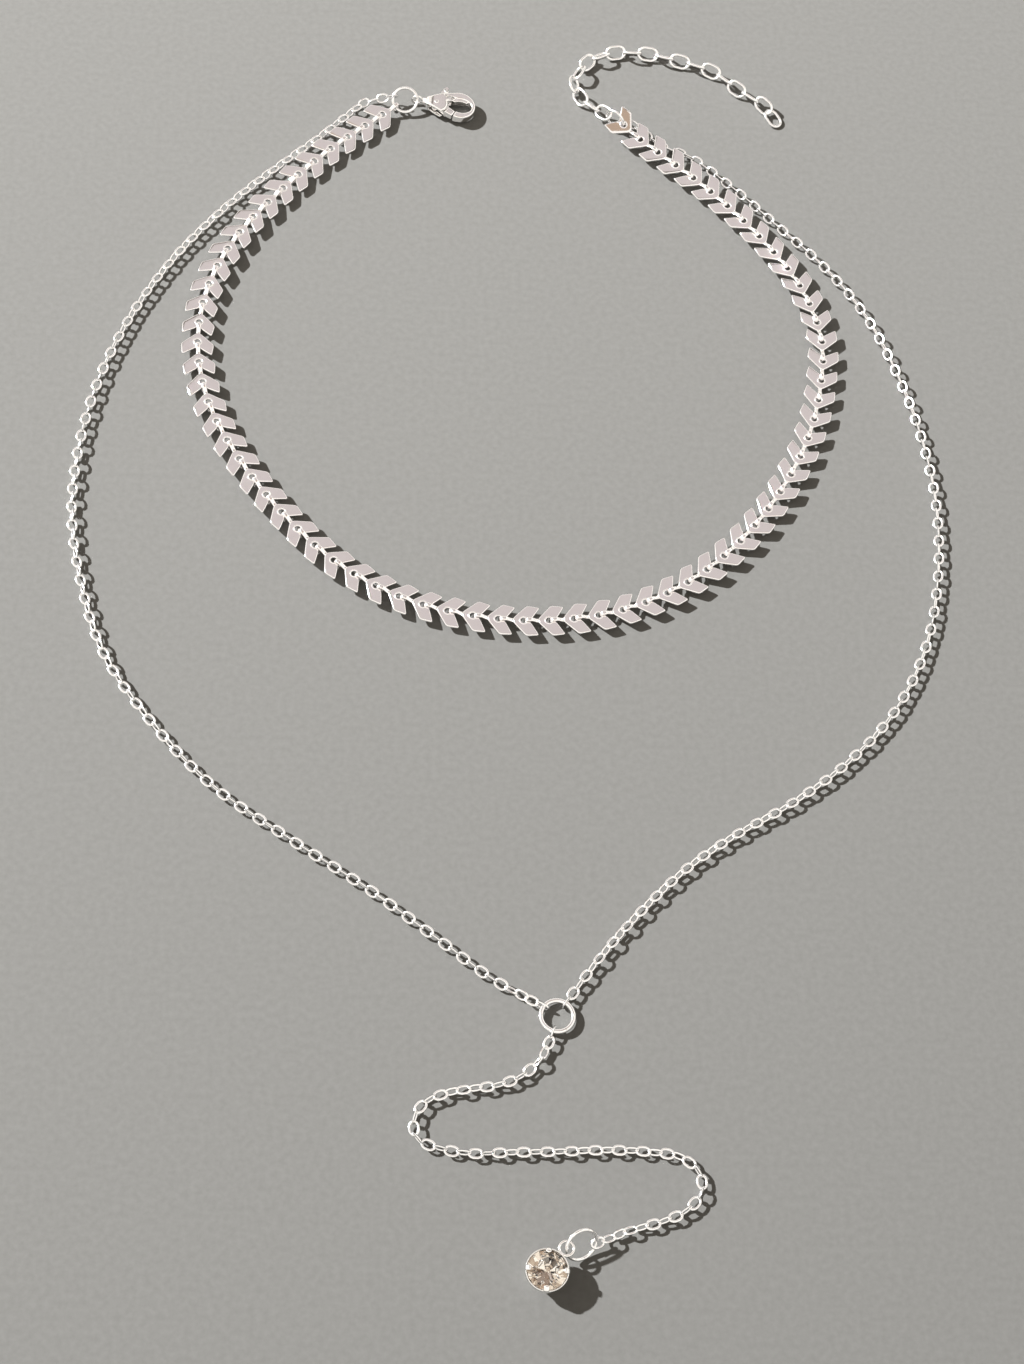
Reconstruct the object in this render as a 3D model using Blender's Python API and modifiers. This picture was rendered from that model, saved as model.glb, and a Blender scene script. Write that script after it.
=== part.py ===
# Lariat necklace, lying open on a table: a fishbone choker of folded plates and a long fine cable
# chain share one lobster clasp and one extender, and a drop chain with a set crystal hangs from a ring.
# Metres, +Z up, the table at z = 0, the clasp end towards +Y and the crystal towards -Y.
import math

import bmesh
import bpy
from mathutils import Matrix, Vector
from mathutils.geometry import interpolate_bezier

# Fishbone choker: stamped plates, each with a tab that is folded down through the next plate's hole
PLATE_COUNT = 71
PLATE_PITCH = 0.004695
PLATE_THICKNESS = 0.0005
PLATE_APEX = 0.00235
PLATE_FRONT_HALF_WIDTH = 0.0032
PLATE_REAR_HALF_WIDTH = 0.0029
PLATE_SHOULDER = 0.0005
PLATE_REAR = 0.0030
PLATE_NOTCH = 0.0012
HOLE_REAR = 0.00055
HOLE_FRONT = 0.0006
HOLE_HALF_WIDTH = 0.0005
TAB_WIDTH = 0.0008
TAB_THICKNESS = 0.0004
TAB_CLEARANCE = 0.00012
TAB_CURL = 0.0008
HOOK_DEPTH = 0.0014
FIRST_END_RAISE = 0.0006
LAST_END_RAISE = 0.0002
END_LEAN = math.radians(12)
RAISED_PLATES = 9
RAMP_PLATES = 5
FIRST_PLATE_TILT = math.radians(15)

# Fine cable chain, drawn here as a tube with a real link at each end
CABLE_LINK_LENGTH = 0.0027
CABLE_LINK_WIDTH = 0.0019
CABLE_WIRE = 0.00045
CABLE_POINT_SPACING = 0.0068
DROP_POINT_SPACING = 0.0055
CABLE_END_SPACING = 0.0024
LINK_PLAY = 0.00015
TABLE_PLAY = 0.00006

# Extender chain of larger oval links
EXTENDER_LINKS = 19
EXTENDER_LINK_WIDTH = 0.0032
EXTENDER_WIRE = 0.00062
EXTENDER_PITCH = 0.00345
EXTENDER_TURN = math.radians(45)

# Rings
CLASP_RING_RADIUS = 0.0025
CLASP_RING_WIRE = 0.00065
CLASP_RING_TILT = math.radians(26)
EXTENDER_RING_RADIUS = 0.0021
EXTENDER_RING_WIRE = 0.00055
CENTRE_RING_RADIUS = 0.0028
CENTRE_RING_WIRE = 0.0009
PENDANT_RING_RADIUS = 0.00275
PENDANT_RING_WIRE = 0.00062
PENDANT_RING_TILT = math.radians(38)
PENDANT_RING_ROLL = math.radians(40)

# Lobster clasp
CLASP_THICKNESS = 0.0024
CLASP_NECK_HALF_WIDTH = 0.0008
CLASP_LOOP_RADIUS = 0.0033
CLASP_LOOP_CENTRE = 0.0087
CLASP_OPENING_LENGTH = 0.0044
CLASP_OPENING_WIDTH = 0.0035
CLASP_PIVOT = (0.0039, -0.0005)
CLASP_CHEEK_RADIUS = 0.0024
CLASP_PIN_RADIUS = 0.0004
CLASP_EYE_RADIUS = 0.0010
CLASP_EYE_WIRE = 0.0005
CLASP_GAP = 0.00012
LEVER_TANG_THICKNESS = 0.0008
LEVER_GATE_THICKNESS = 0.0018
LEVER_DISC_RADIUS = 0.0010

# Set crystal
CRYSTAL_RADIUS = 0.0032
CRYSTAL_TABLE_RADIUS = 0.0018
CRYSTAL_CROWN = 0.0009
CRYSTAL_GIRDLE = 0.0002
CRYSTAL_PAVILION = 0.0026
SETTING_CULET_HEIGHT = 0.0013
SETTING_GAP = 0.00014
SETTING_WALL = 0.00024
SETTING_BASE_RADIUS = 0.0017
CLAW_COUNT = 4
CLAW_WIDTH = 0.0009
CLAW_THICKNESS = 0.00035
BAIL_RADIUS = 0.0012
BAIL_WIRE = 0.0005

# Routes on the table, a few points each, chosen by hand along the middle of each strand
CHOKER_ROUTE = [
    (0.0250, 0.1099), (0.0318, 0.1038), (0.0423, 0.0941), (0.0520, 0.0830), (0.0597, 0.0700),
    (0.0625, 0.0577), (0.0615, 0.0480), (0.0579, 0.0350), (0.0516, 0.0226), (0.0431, 0.0113),
    (0.0329, 0.0022), (0.0205, -0.0042), (0.0064, -0.0070), (-0.0077, -0.0064), (-0.0213, -0.0027),
    (-0.0333, 0.0046), (-0.0429, 0.0145), (-0.0511, 0.0260), (-0.0574, 0.0388), (-0.0599, 0.0523),
    (-0.0582, 0.0665), (-0.0526, 0.0794), (-0.0443, 0.0907), (-0.0347, 0.1015), (-0.0245, 0.1107),
]
LONG_LEFT_ROUTE = [
    (-0.0281, 0.1141), (-0.0312, 0.1111), (-0.0372, 0.1047), (-0.0460, 0.0961), (-0.0565, 0.0848),
    (-0.0661, 0.0716), (-0.0733, 0.0578), (-0.0786, 0.0423), (-0.0813, 0.0267), (-0.0817, 0.0144),
    (-0.0792, -0.0010), (-0.0741, -0.0163), (-0.0661, -0.0284), (-0.0542, -0.0417), (-0.0401, -0.0520),
    (-0.0271, -0.0608), (-0.0150, -0.0700), (-0.0041, -0.0783),
]
LONG_RIGHT_ROUTE = [
    (0.0263, 0.1120), (0.0285, 0.1101), (0.0334, 0.1059), (0.0380, 0.1039), (0.0463, 0.0967),
    (0.0552, 0.0872), (0.0647, 0.0765), (0.0716, 0.0657), (0.0771, 0.0510), (0.0804, 0.0367),
    (0.0818, 0.0221), (0.0806, 0.0053), (0.0759, -0.0123), (0.0688, -0.0249), (0.0595, -0.0349),
    (0.0485, -0.0433), (0.0377, -0.0499), (0.0297, -0.0557), (0.0208, -0.0643), (0.0136, -0.0726),
]
DROP_ROUTE = [
    (0.0024, -0.0915), (-0.0004, -0.0943), (-0.0047, -0.0962), (-0.0097, -0.0970), (-0.0146, -0.0981),
    (-0.0176, -0.0998), (-0.0190, -0.1025), (-0.0187, -0.1053), (-0.0147, -0.1073), (-0.0098, -0.1081),
    (-0.0032, -0.1079), (0.0051, -0.1077), (0.0135, -0.1074), (0.0202, -0.1077), (0.0261, -0.1090),
    (0.0285, -0.1120), (0.0280, -0.1152), (0.0258, -0.1175), (0.0211, -0.1196), (0.0161, -0.1210),
]
EXTENDER_ROUTE = [
    (0.0182, 0.1163), (0.0160, 0.1190), (0.0154, 0.1216), (0.0172, 0.1257), (0.0193, 0.1284),
    (0.0226, 0.1300), (0.0262, 0.1307), (0.0299, 0.1306), (0.0333, 0.1303), (0.0368, 0.1292),
    (0.0404, 0.1283), (0.0440, 0.1269), (0.0467, 0.1251), (0.0493, 0.1224), (0.0520, 0.1204),
    (0.0550, 0.1180), (0.0570, 0.1150), (0.0590, 0.1128), (0.0610, 0.1110), (0.0628, 0.1088),
]

# Places of the rings, the clasp and the crystal
CLASP_TURN = math.radians(-6)
CENTRE_RING_PLACE = (0.0054, -0.0839)
CENTRE_HOOK_LEFT = math.radians(143)
CENTRE_HOOK_RIGHT = math.radians(57)
CENTRE_HOOK_DROP = math.radians(256)
CLASP_RING_HOOK_PLATE = math.radians(228)
CLASP_RING_HOOK_CHAIN = math.radians(174)
CLASP_RING_HOOK_EYE = math.radians(12)
PENDANT_RING_HOOK_BAIL = math.radians(216)
PENDANT_RING_HOOK_CHAIN = math.radians(25)
PENDANT_PLACE = (0.0021, -0.1283)
BAIL_DIRECTION = math.radians(48)
CLAW_DIRECTION = math.radians(-5)

TILTED_RING_TURN = math.radians(-11)

SEAM = 0.000001
UP = Vector((0, 0, 1))


# Scene and shared tools
for old in list(bpy.data.objects):
    bpy.data.objects.remove(old)
parts = bpy.data.collections.new("lariat_necklace")
bpy.context.scene.collection.children.link(parts)
cutters = bpy.data.collections.new("lariat_necklace_cutters")
bpy.context.scene.collection.children.link(cutters)


def finish(name, mesh, color, roughness, metallic, smooth=True):
    """A named part with its own material."""
    surface = bpy.data.materials.new(name)
    surface.use_nodes = True
    shader = surface.node_tree.nodes["Principled BSDF"]
    shader.inputs["Base Color"].default_value = (*color, 1)
    shader.inputs["Roughness"].default_value = roughness
    shader.inputs["Metallic"].default_value = metallic
    part = bpy.data.objects.new(name, mesh)
    mesh.materials.clear()
    mesh.materials.append(surface)
    if smooth:
        mesh.shade_smooth()
        mesh.set_sharp_from_angle(angle=math.radians(40))
    parts.objects.link(part)
    return part


def silver(name, mesh):
    return finish(name, mesh, (0.88, 0.87, 0.86), 0.2, 1.0)


def helper(name, mesh, target, operation, parent=None):
    """A hidden solid that a Boolean joins to a part or cuts from it."""
    solid = bpy.data.objects.new(name, mesh)
    solid.hide_render = True
    solid.display_type = "WIRE"
    solid.parent = parent
    cutters.objects.link(solid)
    modifier = target.modifiers.new(name, "BOOLEAN")
    modifier.operation = operation
    modifier.solver = "EXACT"
    modifier.object = solid
    return solid


def mesh_of_curve(curve):
    """The closed mesh of a curve, with its caps welded on."""
    holder = bpy.data.objects.new("curve_holder", curve)
    cutters.objects.link(holder)
    graph = bpy.context.evaluated_depsgraph_get()
    mesh = bpy.data.meshes.new_from_object(holder.evaluated_get(graph))
    bpy.data.objects.remove(holder)
    shape = bmesh.new()
    shape.from_mesh(mesh)
    bmesh.ops.remove_doubles(shape, verts=shape.verts, dist=SEAM)
    bmesh.ops.recalc_face_normals(shape, faces=shape.faces)
    shape.to_mesh(mesh)
    shape.free()
    return mesh


def wire(points, radius, cyclic=False, resolution=2):
    """A round wire or tube through a list of points."""
    curve = bpy.data.curves.new("wire", "CURVE")
    curve.dimensions = "3D"
    curve.bevel_depth = radius
    curve.bevel_resolution = resolution
    curve.use_fill_caps = not cyclic
    spline = curve.splines.new("POLY")
    spline.points.add(len(points) - 1)
    for knot, place in zip(spline.points, points):
        knot.co = (*place, 1)
    spline.use_cyclic_u = cyclic
    return mesh_of_curve(curve)


def flat_outline(outlines, thickness):
    """A flat sheet of one outline, less any outlines inside it, centred on z = 0."""
    curve = bpy.data.curves.new("outline", "CURVE")
    curve.dimensions = "2D"
    curve.fill_mode = "BOTH"
    curve.extrude = thickness / 2
    for outline in outlines:
        spline = curve.splines.new("POLY")
        spline.points.add(len(outline) - 1)
        for knot, (x, y) in zip(spline.points, outline):
            knot.co = (x, y, 0, 1)
        spline.use_cyclic_u = True
    return mesh_of_curve(curve)


def joined(name, pieces):
    """One mesh from pairs of mesh and matrix, none of which overlap each other."""
    shape = bmesh.new()
    for mesh, matrix in pieces:
        first = len(shape.verts)
        shape.from_mesh(mesh)
        shape.verts.ensure_lookup_table()
        bmesh.ops.transform(shape, matrix=matrix, verts=shape.verts[first:])
    mesh = bpy.data.meshes.new(name)
    shape.to_mesh(mesh)
    shape.free()
    return mesh


def evaluated(part):
    """A part's mesh with its modifiers applied, after which the part itself is removed."""
    graph = bpy.context.evaluated_depsgraph_get()
    mesh = bpy.data.meshes.new_from_object(part.evaluated_get(graph))
    bpy.data.objects.remove(part)
    return mesh


def smooth_path(route, steps=12):
    """Close points on a smooth curve through a route's points, each with its distance along the curve."""
    route = [Vector(place) for place in route]
    spans = [(b - a).length for a, b in zip(route, route[1:])]
    chords = [(b - a).normalized() for a, b in zip(route, route[1:])]
    slopes = [chords[0]]
    for i in range(1, len(route) - 1):
        slopes.append((chords[i - 1] * spans[i] + chords[i] * spans[i - 1]).normalized())
    slopes.append(chords[-1])
    line = []
    for i, span in enumerate(spans):
        reach = span / 3
        a, b = route[i], route[i + 1]
        line += interpolate_bezier(a, a + slopes[i] * reach, b - slopes[i + 1] * reach, b, steps + 1)[:-1]
    line.append(route[-1])
    lengths = [0.0]
    for a, b in zip(line, line[1:]):
        lengths.append(lengths[-1] + (b - a).length)
    return line, lengths


def along(path, distance):
    """The point at a distance along a path, which runs straight on past its two ends."""
    line, lengths = path
    i = 0
    while i < len(line) - 2 and lengths[i + 1] < distance:
        i += 1
    share = (distance - lengths[i]) / (lengths[i + 1] - lengths[i])
    return line[i] + (line[i + 1] - line[i]) * share


def frame(origin, forward, level):
    """A matrix with x forward and y as near as can be to level."""
    x = forward.normalized()
    z = x.cross(level).normalized()
    y = z.cross(x)
    return Matrix.Translation(origin) @ Matrix((x, y, z)).transposed().to_4x4()


def ring_mesh(radius, wire_diameter, sides=16, wire_sides=6):
    """A round ring about z, with its wire's middle at the radius."""
    bpy.ops.mesh.primitive_torus_add(major_radius=radius, minor_radius=wire_diameter / 2,
                                     major_segments=sides, minor_segments=wire_sides)
    ring = bpy.context.object
    mesh = ring.data
    bpy.data.objects.remove(ring)
    return mesh


def oval_link(length, width, wire_diameter, corner_steps=5):
    """An oval link in the xy plane, its two round ends towards -x and +x."""
    bend = (width - wire_diameter) / 2
    reach = (length - wire_diameter) / 2 - bend
    points = []
    for end, start in ((1, -90), (-1, 90)):
        for i in range(corner_steps):
            turn = math.radians(start + 180 * i / (corner_steps - 1))
            points.append((end * reach + bend * math.cos(turn), bend * math.sin(turn), 0))
    return wire(points, wire_diameter / 2, cyclic=True, resolution=1)


# Fishbone choker: one plate, then every plate along the route
def stamped_plate():
    """A chevron plate about its own hole, pointing along x, with its tab drawn out of its tip: over the
    next plate's notch, down the flat back of that plate's hole and back under it."""
    half_tab = TAB_WIDTH / 2
    tip = PLATE_APEX - half_tab * (PLATE_APEX + PLATE_SHOULDER) / PLATE_FRONT_HALF_WIDTH
    outline = [
        (tip, -half_tab),
        (tip, half_tab),
        (-PLATE_SHOULDER, PLATE_FRONT_HALF_WIDTH),
        (-PLATE_REAR, PLATE_REAR_HALF_WIDTH),
        (-PLATE_NOTCH, 0),
        (-PLATE_REAR, -PLATE_REAR_HALF_WIDTH),
        (-PLATE_SHOULDER, -PLATE_FRONT_HALF_WIDTH),
    ]
    hole = [
        (-HOLE_REAR, -HOLE_HALF_WIDTH),
        (HOLE_FRONT * 0.4, -HOLE_HALF_WIDTH),
        (HOLE_FRONT, 0),
        (HOLE_FRONT * 0.4, HOLE_HALF_WIDTH),
        (-HOLE_REAR, HOLE_HALF_WIDTH),
    ]
    face_height = PLATE_THICKNESS / 2
    under = face_height + TAB_CLEARANCE
    over = under + TAB_THICKNESS
    crest = PLATE_PITCH - PLATE_NOTCH - TAB_CLEARANCE * 1.5
    finger_back = PLATE_PITCH - HOLE_REAR - TAB_CLEARANCE / 2
    finger_front = finger_back + TAB_THICKNESS
    bottom = -HOOK_DEPTH
    sections = [
        ((tip, face_height), (tip, -face_height)),
        ((crest - TAB_THICKNESS * 0.6, over), (crest, under)),
        ((finger_front, over), (finger_back, under)),
        ((finger_front, bottom), (finger_back, bottom + TAB_THICKNESS)),
        ((finger_back - TAB_CURL, bottom), (finger_back - TAB_CURL, bottom + TAB_THICKNESS)),
    ]
    mesh = flat_outline([outline, hole], PLATE_THICKNESS)
    shape = bmesh.new()
    shape.from_mesh(mesh)
    end = max(shape.faces, key=lambda face: face.calc_center_median().x)
    for (old_top, old_under), (top, below) in zip(sections, sections[1:]):
        grown = bmesh.ops.extrude_face_region(shape, geom=[end])["geom"]
        bmesh.ops.delete(shape, geom=[end], context="FACES_ONLY")
        end = [item for item in grown if isinstance(item, bmesh.types.BMFace)][0]
        for corner in end.verts:
            here = Vector((corner.co.x, corner.co.z))
            on_top = (here - Vector(old_top)).length < (here - Vector(old_under)).length
            corner.co.x, corner.co.z = top if on_top else below
    bmesh.ops.recalc_face_normals(shape, faces=shape.faces)
    shape.to_mesh(mesh)
    shape.free()
    return mesh


def plate_frames():
    """Each plate's frame: its hole on the route, its apex towards the next hole, leaning on the chain
    that passes under the ends' outer side, and the first plate tipped up by its ring."""
    path = smooth_path([(x, y, 0) for x, y in CHOKER_ROUTE])
    places = []
    leans = []
    for k in range(PLATE_COUNT + 1):
        first = k < PLATE_COUNT / 2
        from_end = k if first else PLATE_COUNT - 1 - k
        share = min(1.0, max(0.0, (RAISED_PLATES - from_end) / RAMP_PLATES))
        share = share * share * (3 - 2 * share)
        lift = share * (FIRST_END_RAISE if first else LAST_END_RAISE)
        places.append(along(path, k * PLATE_PITCH) + UP * (HOOK_DEPTH + lift))
        leans.append(Matrix.Rotation(END_LEAN * share, 4, "X"))
    frames = [frame(a, b - a, UP.cross(b - a)) @ lean for a, b, lean in zip(places, places[1:], leans)]
    finger = Matrix.Translation((PLATE_PITCH - HOLE_REAR, 0, 0))
    frames[0] = frames[0] @ finger @ Matrix.Rotation(FIRST_PLATE_TILT, 4, "Y") @ finger.inverted()
    return frames


plates = plate_frames()
plate_mesh = stamped_plate()
choker = silver("chevron_chain", joined("chevron_chain", [(plate_mesh, f) for f in plates[0::2]]))
helper("chevron_chain_other_half", joined("other_half", [(plate_mesh, f) for f in plates[1::2]]),
       choker, "UNION")


def on_ring(ring_frame, radius, angle):
    """The middle of a ring's wire at an angle, and the way the wire runs there."""
    place = ring_frame @ Vector((radius * math.cos(angle), radius * math.sin(angle), 0))
    return place, ring_frame.to_3x3() @ Vector((-math.sin(angle), math.cos(angle), 0))


def ring_through(place, turned_matrix, radius, angle):
    """The frame of a ring whose wire passes through a place at an angle."""
    offset, _ = on_ring(turned_matrix, radius, angle)
    return Matrix.Translation(place - offset) @ turned_matrix


# Clasp ring: held by the last plate's tab, its far side up, with the clasp's eye on its other side
wire_in_tab = plates[-1] @ Vector((
    PLATE_PITCH - HOLE_REAR - TAB_CLEARANCE * 1.5 - CLASP_RING_WIRE / 2,
    0,
    -(HOOK_DEPTH - TAB_THICKNESS - PLATE_THICKNESS / 2) / 2,
))
clasp_ring_turn = Matrix.Rotation(TILTED_RING_TURN, 4, "Z") @ Matrix.Rotation(CLASP_RING_TILT, 4, "X")
clasp_ring_frame = ring_through(wire_in_tab, clasp_ring_turn, CLASP_RING_RADIUS, CLASP_RING_HOOK_PLATE)
clasp_ring = silver("clasp_ring", ring_mesh(CLASP_RING_RADIUS, CLASP_RING_WIRE))
clasp_ring.matrix_world = clasp_ring_frame

# Extender ring: upright, through the first plate's hole
cable_rest = CABLE_LINK_WIDTH / 2 + TABLE_PLAY
extender_ring_height = cable_rest + EXTENDER_RING_RADIUS
hole_place = plates[0].translation
rise = extender_ring_height - hole_place.z
back = plates[0].to_3x3() @ Vector((-1, 0, 0))
back = Vector((back.x, back.y, 0)).normalized()
extender_ring_centre = hole_place + back * math.sqrt(EXTENDER_RING_RADIUS ** 2 - rise ** 2)
extender_ring_centre.z = extender_ring_height
extender_ring_frame = frame(extender_ring_centre, back, UP)
extender_ring = silver("extender_ring", ring_mesh(EXTENDER_RING_RADIUS, EXTENDER_RING_WIRE))
extender_ring.matrix_world = extender_ring_frame

# Centre ring: flat, held by the end links of the three chains that meet in it
centre_ring_frame = Matrix.Translation((*CENTRE_RING_PLACE, cable_rest))
centre_ring = silver("centre_ring", ring_mesh(CENTRE_RING_RADIUS, CENTRE_RING_WIRE))
centre_ring.matrix_world = centre_ring_frame

# Pendant ring: leans from the bail loop down to the drop chain
setting_height = SETTING_CULET_HEIGHT + CRYSTAL_PAVILION
rim_radius = CRYSTAL_RADIUS + SETTING_GAP + SETTING_WALL
bail_reach = rim_radius + BAIL_RADIUS + BAIL_WIRE / 4
bail_place = Vector((
    PENDANT_PLACE[0] + bail_reach * math.cos(BAIL_DIRECTION),
    PENDANT_PLACE[1] + bail_reach * math.sin(BAIL_DIRECTION),
    setting_height - BAIL_WIRE * 0.9,
))
pendant_ring_turn = (Matrix.Rotation(TILTED_RING_TURN, 4, "Z") @ Matrix.Rotation(PENDANT_RING_ROLL, 4, "Y")
                     @ Matrix.Rotation(PENDANT_RING_TILT, 4, "X"))
pendant_ring_frame = ring_through(bail_place, pendant_ring_turn, PENDANT_RING_RADIUS,
                                  PENDANT_RING_HOOK_BAIL)
pendant_ring = silver("pendant_ring", ring_mesh(PENDANT_RING_RADIUS, PENDANT_RING_WIRE))
pendant_ring.matrix_world = pendant_ring_frame


# Cable chains: a tube along the route, and a real link round the ring at each end
def end_link(ring_frame, ring_radius, ring_wire, angle, toward):
    """A link's frame round a ring's wire at an angle, and the point and way in which its chain leaves."""
    hook, run = on_ring(ring_frame, ring_radius, angle)
    pull = (Vector((*toward, cable_rest)) - hook).normalized()
    side = run.cross(pull)
    slant = side.length
    side.normalize()
    reach = ((CABLE_WIRE + ring_wire) / 2 + LINK_PLAY) / slant
    centre = hook + pull * ((CABLE_LINK_LENGTH - CABLE_WIRE) / 2 - reach)
    turn = Matrix((pull, side, pull.cross(side))).transposed().to_4x4()
    leave = centre + pull * (CABLE_LINK_LENGTH / 2 - CABLE_WIRE * 0.8)
    return Matrix.Translation(centre) @ turn, leave, pull


def cable_chain(name, route, spacing, start, end):
    """A chain's tube with its two end links, from the link frames and leaving points of its ends."""
    table = [Vector((x, y, cable_rest)) for x, y in route]
    lead = CABLE_LINK_WIDTH / 4
    whole = [start[1], start[1] + start[2] * lead, *table, end[1] + end[2] * lead, end[1]]
    path = smooth_path(whole)
    length = path[1][-1]
    middle = length - 2 * CABLE_END_SPACING
    count = round(middle / spacing)
    distances = [0, *[CABLE_END_SPACING + middle * i / count for i in range(count + 1)], length]
    points = [along(path, distance) for distance in distances]
    chain = silver(name, wire(points, CABLE_LINK_WIDTH / 2))
    link = oval_link(CABLE_LINK_LENGTH, CABLE_LINK_WIDTH, CABLE_WIRE)
    helper(name + "_end_links", joined(name, [(link, start[0]), (link, end[0])]), chain, "UNION")
    return chain


cable_chain(
    "long_chain_left", LONG_LEFT_ROUTE, CABLE_POINT_SPACING,
    end_link(clasp_ring_frame, CLASP_RING_RADIUS, CLASP_RING_WIRE, CLASP_RING_HOOK_CHAIN,
             LONG_LEFT_ROUTE[0]),
    end_link(centre_ring_frame, CENTRE_RING_RADIUS, CENTRE_RING_WIRE, CENTRE_HOOK_LEFT,
             LONG_LEFT_ROUTE[-1]),
)
cable_chain(
    "long_chain_right", LONG_RIGHT_ROUTE, CABLE_POINT_SPACING,
    end_link(extender_ring_frame, EXTENDER_RING_RADIUS, EXTENDER_RING_WIRE, -math.pi / 2,
             LONG_RIGHT_ROUTE[0]),
    end_link(centre_ring_frame, CENTRE_RING_RADIUS, CENTRE_RING_WIRE, CENTRE_HOOK_RIGHT,
             LONG_RIGHT_ROUTE[-1]),
)
cable_chain(
    "drop_chain", DROP_ROUTE, DROP_POINT_SPACING,
    end_link(centre_ring_frame, CENTRE_RING_RADIUS, CENTRE_RING_WIRE, CENTRE_HOOK_DROP,
             DROP_ROUTE[0]),
    end_link(pendant_ring_frame, PENDANT_RING_RADIUS, PENDANT_RING_WIRE, PENDANT_RING_HOOK_CHAIN,
             DROP_ROUTE[-1]),
)

# Extender chain: oval links turned left and right in turn, the first round the extender ring
extender_link_length = EXTENDER_PITCH + 2 * EXTENDER_WIRE - CABLE_WIRE * 0.2
extender_rest = ((EXTENDER_LINK_WIDTH - EXTENDER_WIRE) * math.sin(EXTENDER_TURN) + EXTENDER_WIRE) / 2
extender_rest += TABLE_PLAY
ring_back = extender_ring_frame @ Vector((EXTENDER_RING_RADIUS, 0, 0))
first_joint = ring_back - back * (EXTENDER_RING_WIRE / 2 + LINK_PLAY + EXTENDER_WIRE * 0.3)
extender_path = smooth_path([first_joint, *[(x, y, extender_rest) for x, y in EXTENDER_ROUTE]])
joints = [along(extender_path, k * EXTENDER_PITCH) for k in range(EXTENDER_LINKS + 1)]
big_link = oval_link(extender_link_length, EXTENDER_LINK_WIDTH, EXTENDER_WIRE)
extender_links = []
for k, (a, b) in enumerate(zip(joints, joints[1:])):
    side = UP.cross(b - a)
    turn = EXTENDER_TURN if k % 2 else -EXTENDER_TURN
    extender_links.append((big_link, frame((a + b) / 2, b - a, side) @ Matrix.Rotation(turn, 4, "X")))
extender = silver("extender_chain", joined("extender_chain", extender_links[0::2]))
helper("extender_chain_other_half", joined("other_half", extender_links[1::2]), extender, "UNION")

# Lobster clasp: body with two cheeks, an eye on a collar, and a sprung lever between the cheeks
clasp_seat, _ = on_ring(clasp_ring_frame, CLASP_RING_RADIUS, CLASP_RING_HOOK_EYE)
clasp_fall = clasp_seat.z - CLASP_THICKNESS / 2 - SEAM
clasp_frame = bpy.data.objects.new("clasp_frame", None)
cutters.objects.link(clasp_frame)
clasp_frame.location = clasp_seat
clasp_frame.rotation_euler = (0, math.asin(clasp_fall / (CLASP_LOOP_CENTRE + CLASP_LOOP_RADIUS)), CLASP_TURN)


def arc(centre, radius_x, radius_y, start, end, steps):
    """Points on an ellipse's arc, in degrees from start to end."""
    return [
        (centre[0] + radius_x * math.cos(math.radians(start + (end - start) * i / steps)),
         centre[1] + radius_y * math.sin(math.radians(start + (end - start) * i / steps)))
        for i in range(steps + 1)
    ]


loop_centre = (CLASP_LOOP_CENTRE, 0)
opening_centre = (CLASP_LOOP_CENTRE + 0.0003, -0.0001)
half_opening = (CLASP_OPENING_LENGTH / 2, CLASP_OPENING_WIDTH / 2)
neck_start = CLASP_EYE_RADIUS + CLASP_EYE_WIRE / 2
body_outline = [(neck_start, -CLASP_NECK_HALF_WIDTH)]
body_outline += [(CLASP_PIVOT[0] - LEVER_DISC_RADIUS, CLASP_PIVOT[1] - LEVER_DISC_RADIUS * 1.1)]
body_outline += arc(CLASP_PIVOT, CLASP_CHEEK_RADIUS, CLASP_CHEEK_RADIUS, -62, 22, 4)
body_outline += arc(opening_centre, *half_opening, 150, -115, 12)
body_outline += arc(loop_centre, CLASP_LOOP_RADIUS, CLASP_LOOP_RADIUS, -110, 105, 12)
body_outline += [(CLASP_PIVOT[0] + LEVER_DISC_RADIUS, CLASP_LOOP_RADIUS * 0.66)]
body_outline += [(neck_start, CLASP_NECK_HALF_WIDTH)]
body_mesh = flat_outline([body_outline], CLASP_THICKNESS)
for corner in body_mesh.vertices:
    if corner.co.x < neck_start + SEAM:
        corner.co.z *= CLASP_NECK_HALF_WIDTH / (CLASP_THICKNESS / 2)
clasp_body = silver("clasp_body", body_mesh)
clasp_body.parent = clasp_frame

slot_height = LEVER_TANG_THICKNESS + 2 * CLASP_GAP
slot_start = CLASP_PIVOT[0] - LEVER_DISC_RADIUS - CLASP_GAP * 3
slot_end = opening_centre[0] - half_opening[0] + CLASP_GAP * 2
slot_reach = CLASP_LOOP_RADIUS * 1.5
slot_outline = [(slot_start, -slot_reach), (slot_end, -slot_reach), (slot_end, slot_reach),
                (slot_start, slot_reach)]
helper("lever_slot", flat_outline([slot_outline], slot_height), clasp_body, "DIFFERENCE", clasp_frame)
pin_outline = arc(CLASP_PIVOT, CLASP_PIN_RADIUS, CLASP_PIN_RADIUS, 0, 330, 11)
helper("lever_pin", flat_outline([pin_outline], CLASP_THICKNESS * 0.9), clasp_body, "UNION", clasp_frame)
eye = ring_mesh(CLASP_EYE_RADIUS, CLASP_EYE_WIRE, 12)
eye.transform(Matrix.Rotation(math.pi / 2, 4, "X"))
helper("clasp_eye", eye, clasp_body, "UNION", clasp_frame)
collar = flat_outline([arc((0, 0), CLASP_NECK_HALF_WIDTH * 0.9, CLASP_NECK_HALF_WIDTH * 0.9, 0, 324, 9)],
                      CLASP_EYE_WIRE * 1.2)
collar.transform(Matrix.Translation((neck_start, 0, 0)) @ Matrix.Rotation(math.pi / 2, 4, "Y"))
helper("clasp_collar", collar, clasp_body, "UNION", clasp_frame)


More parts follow.
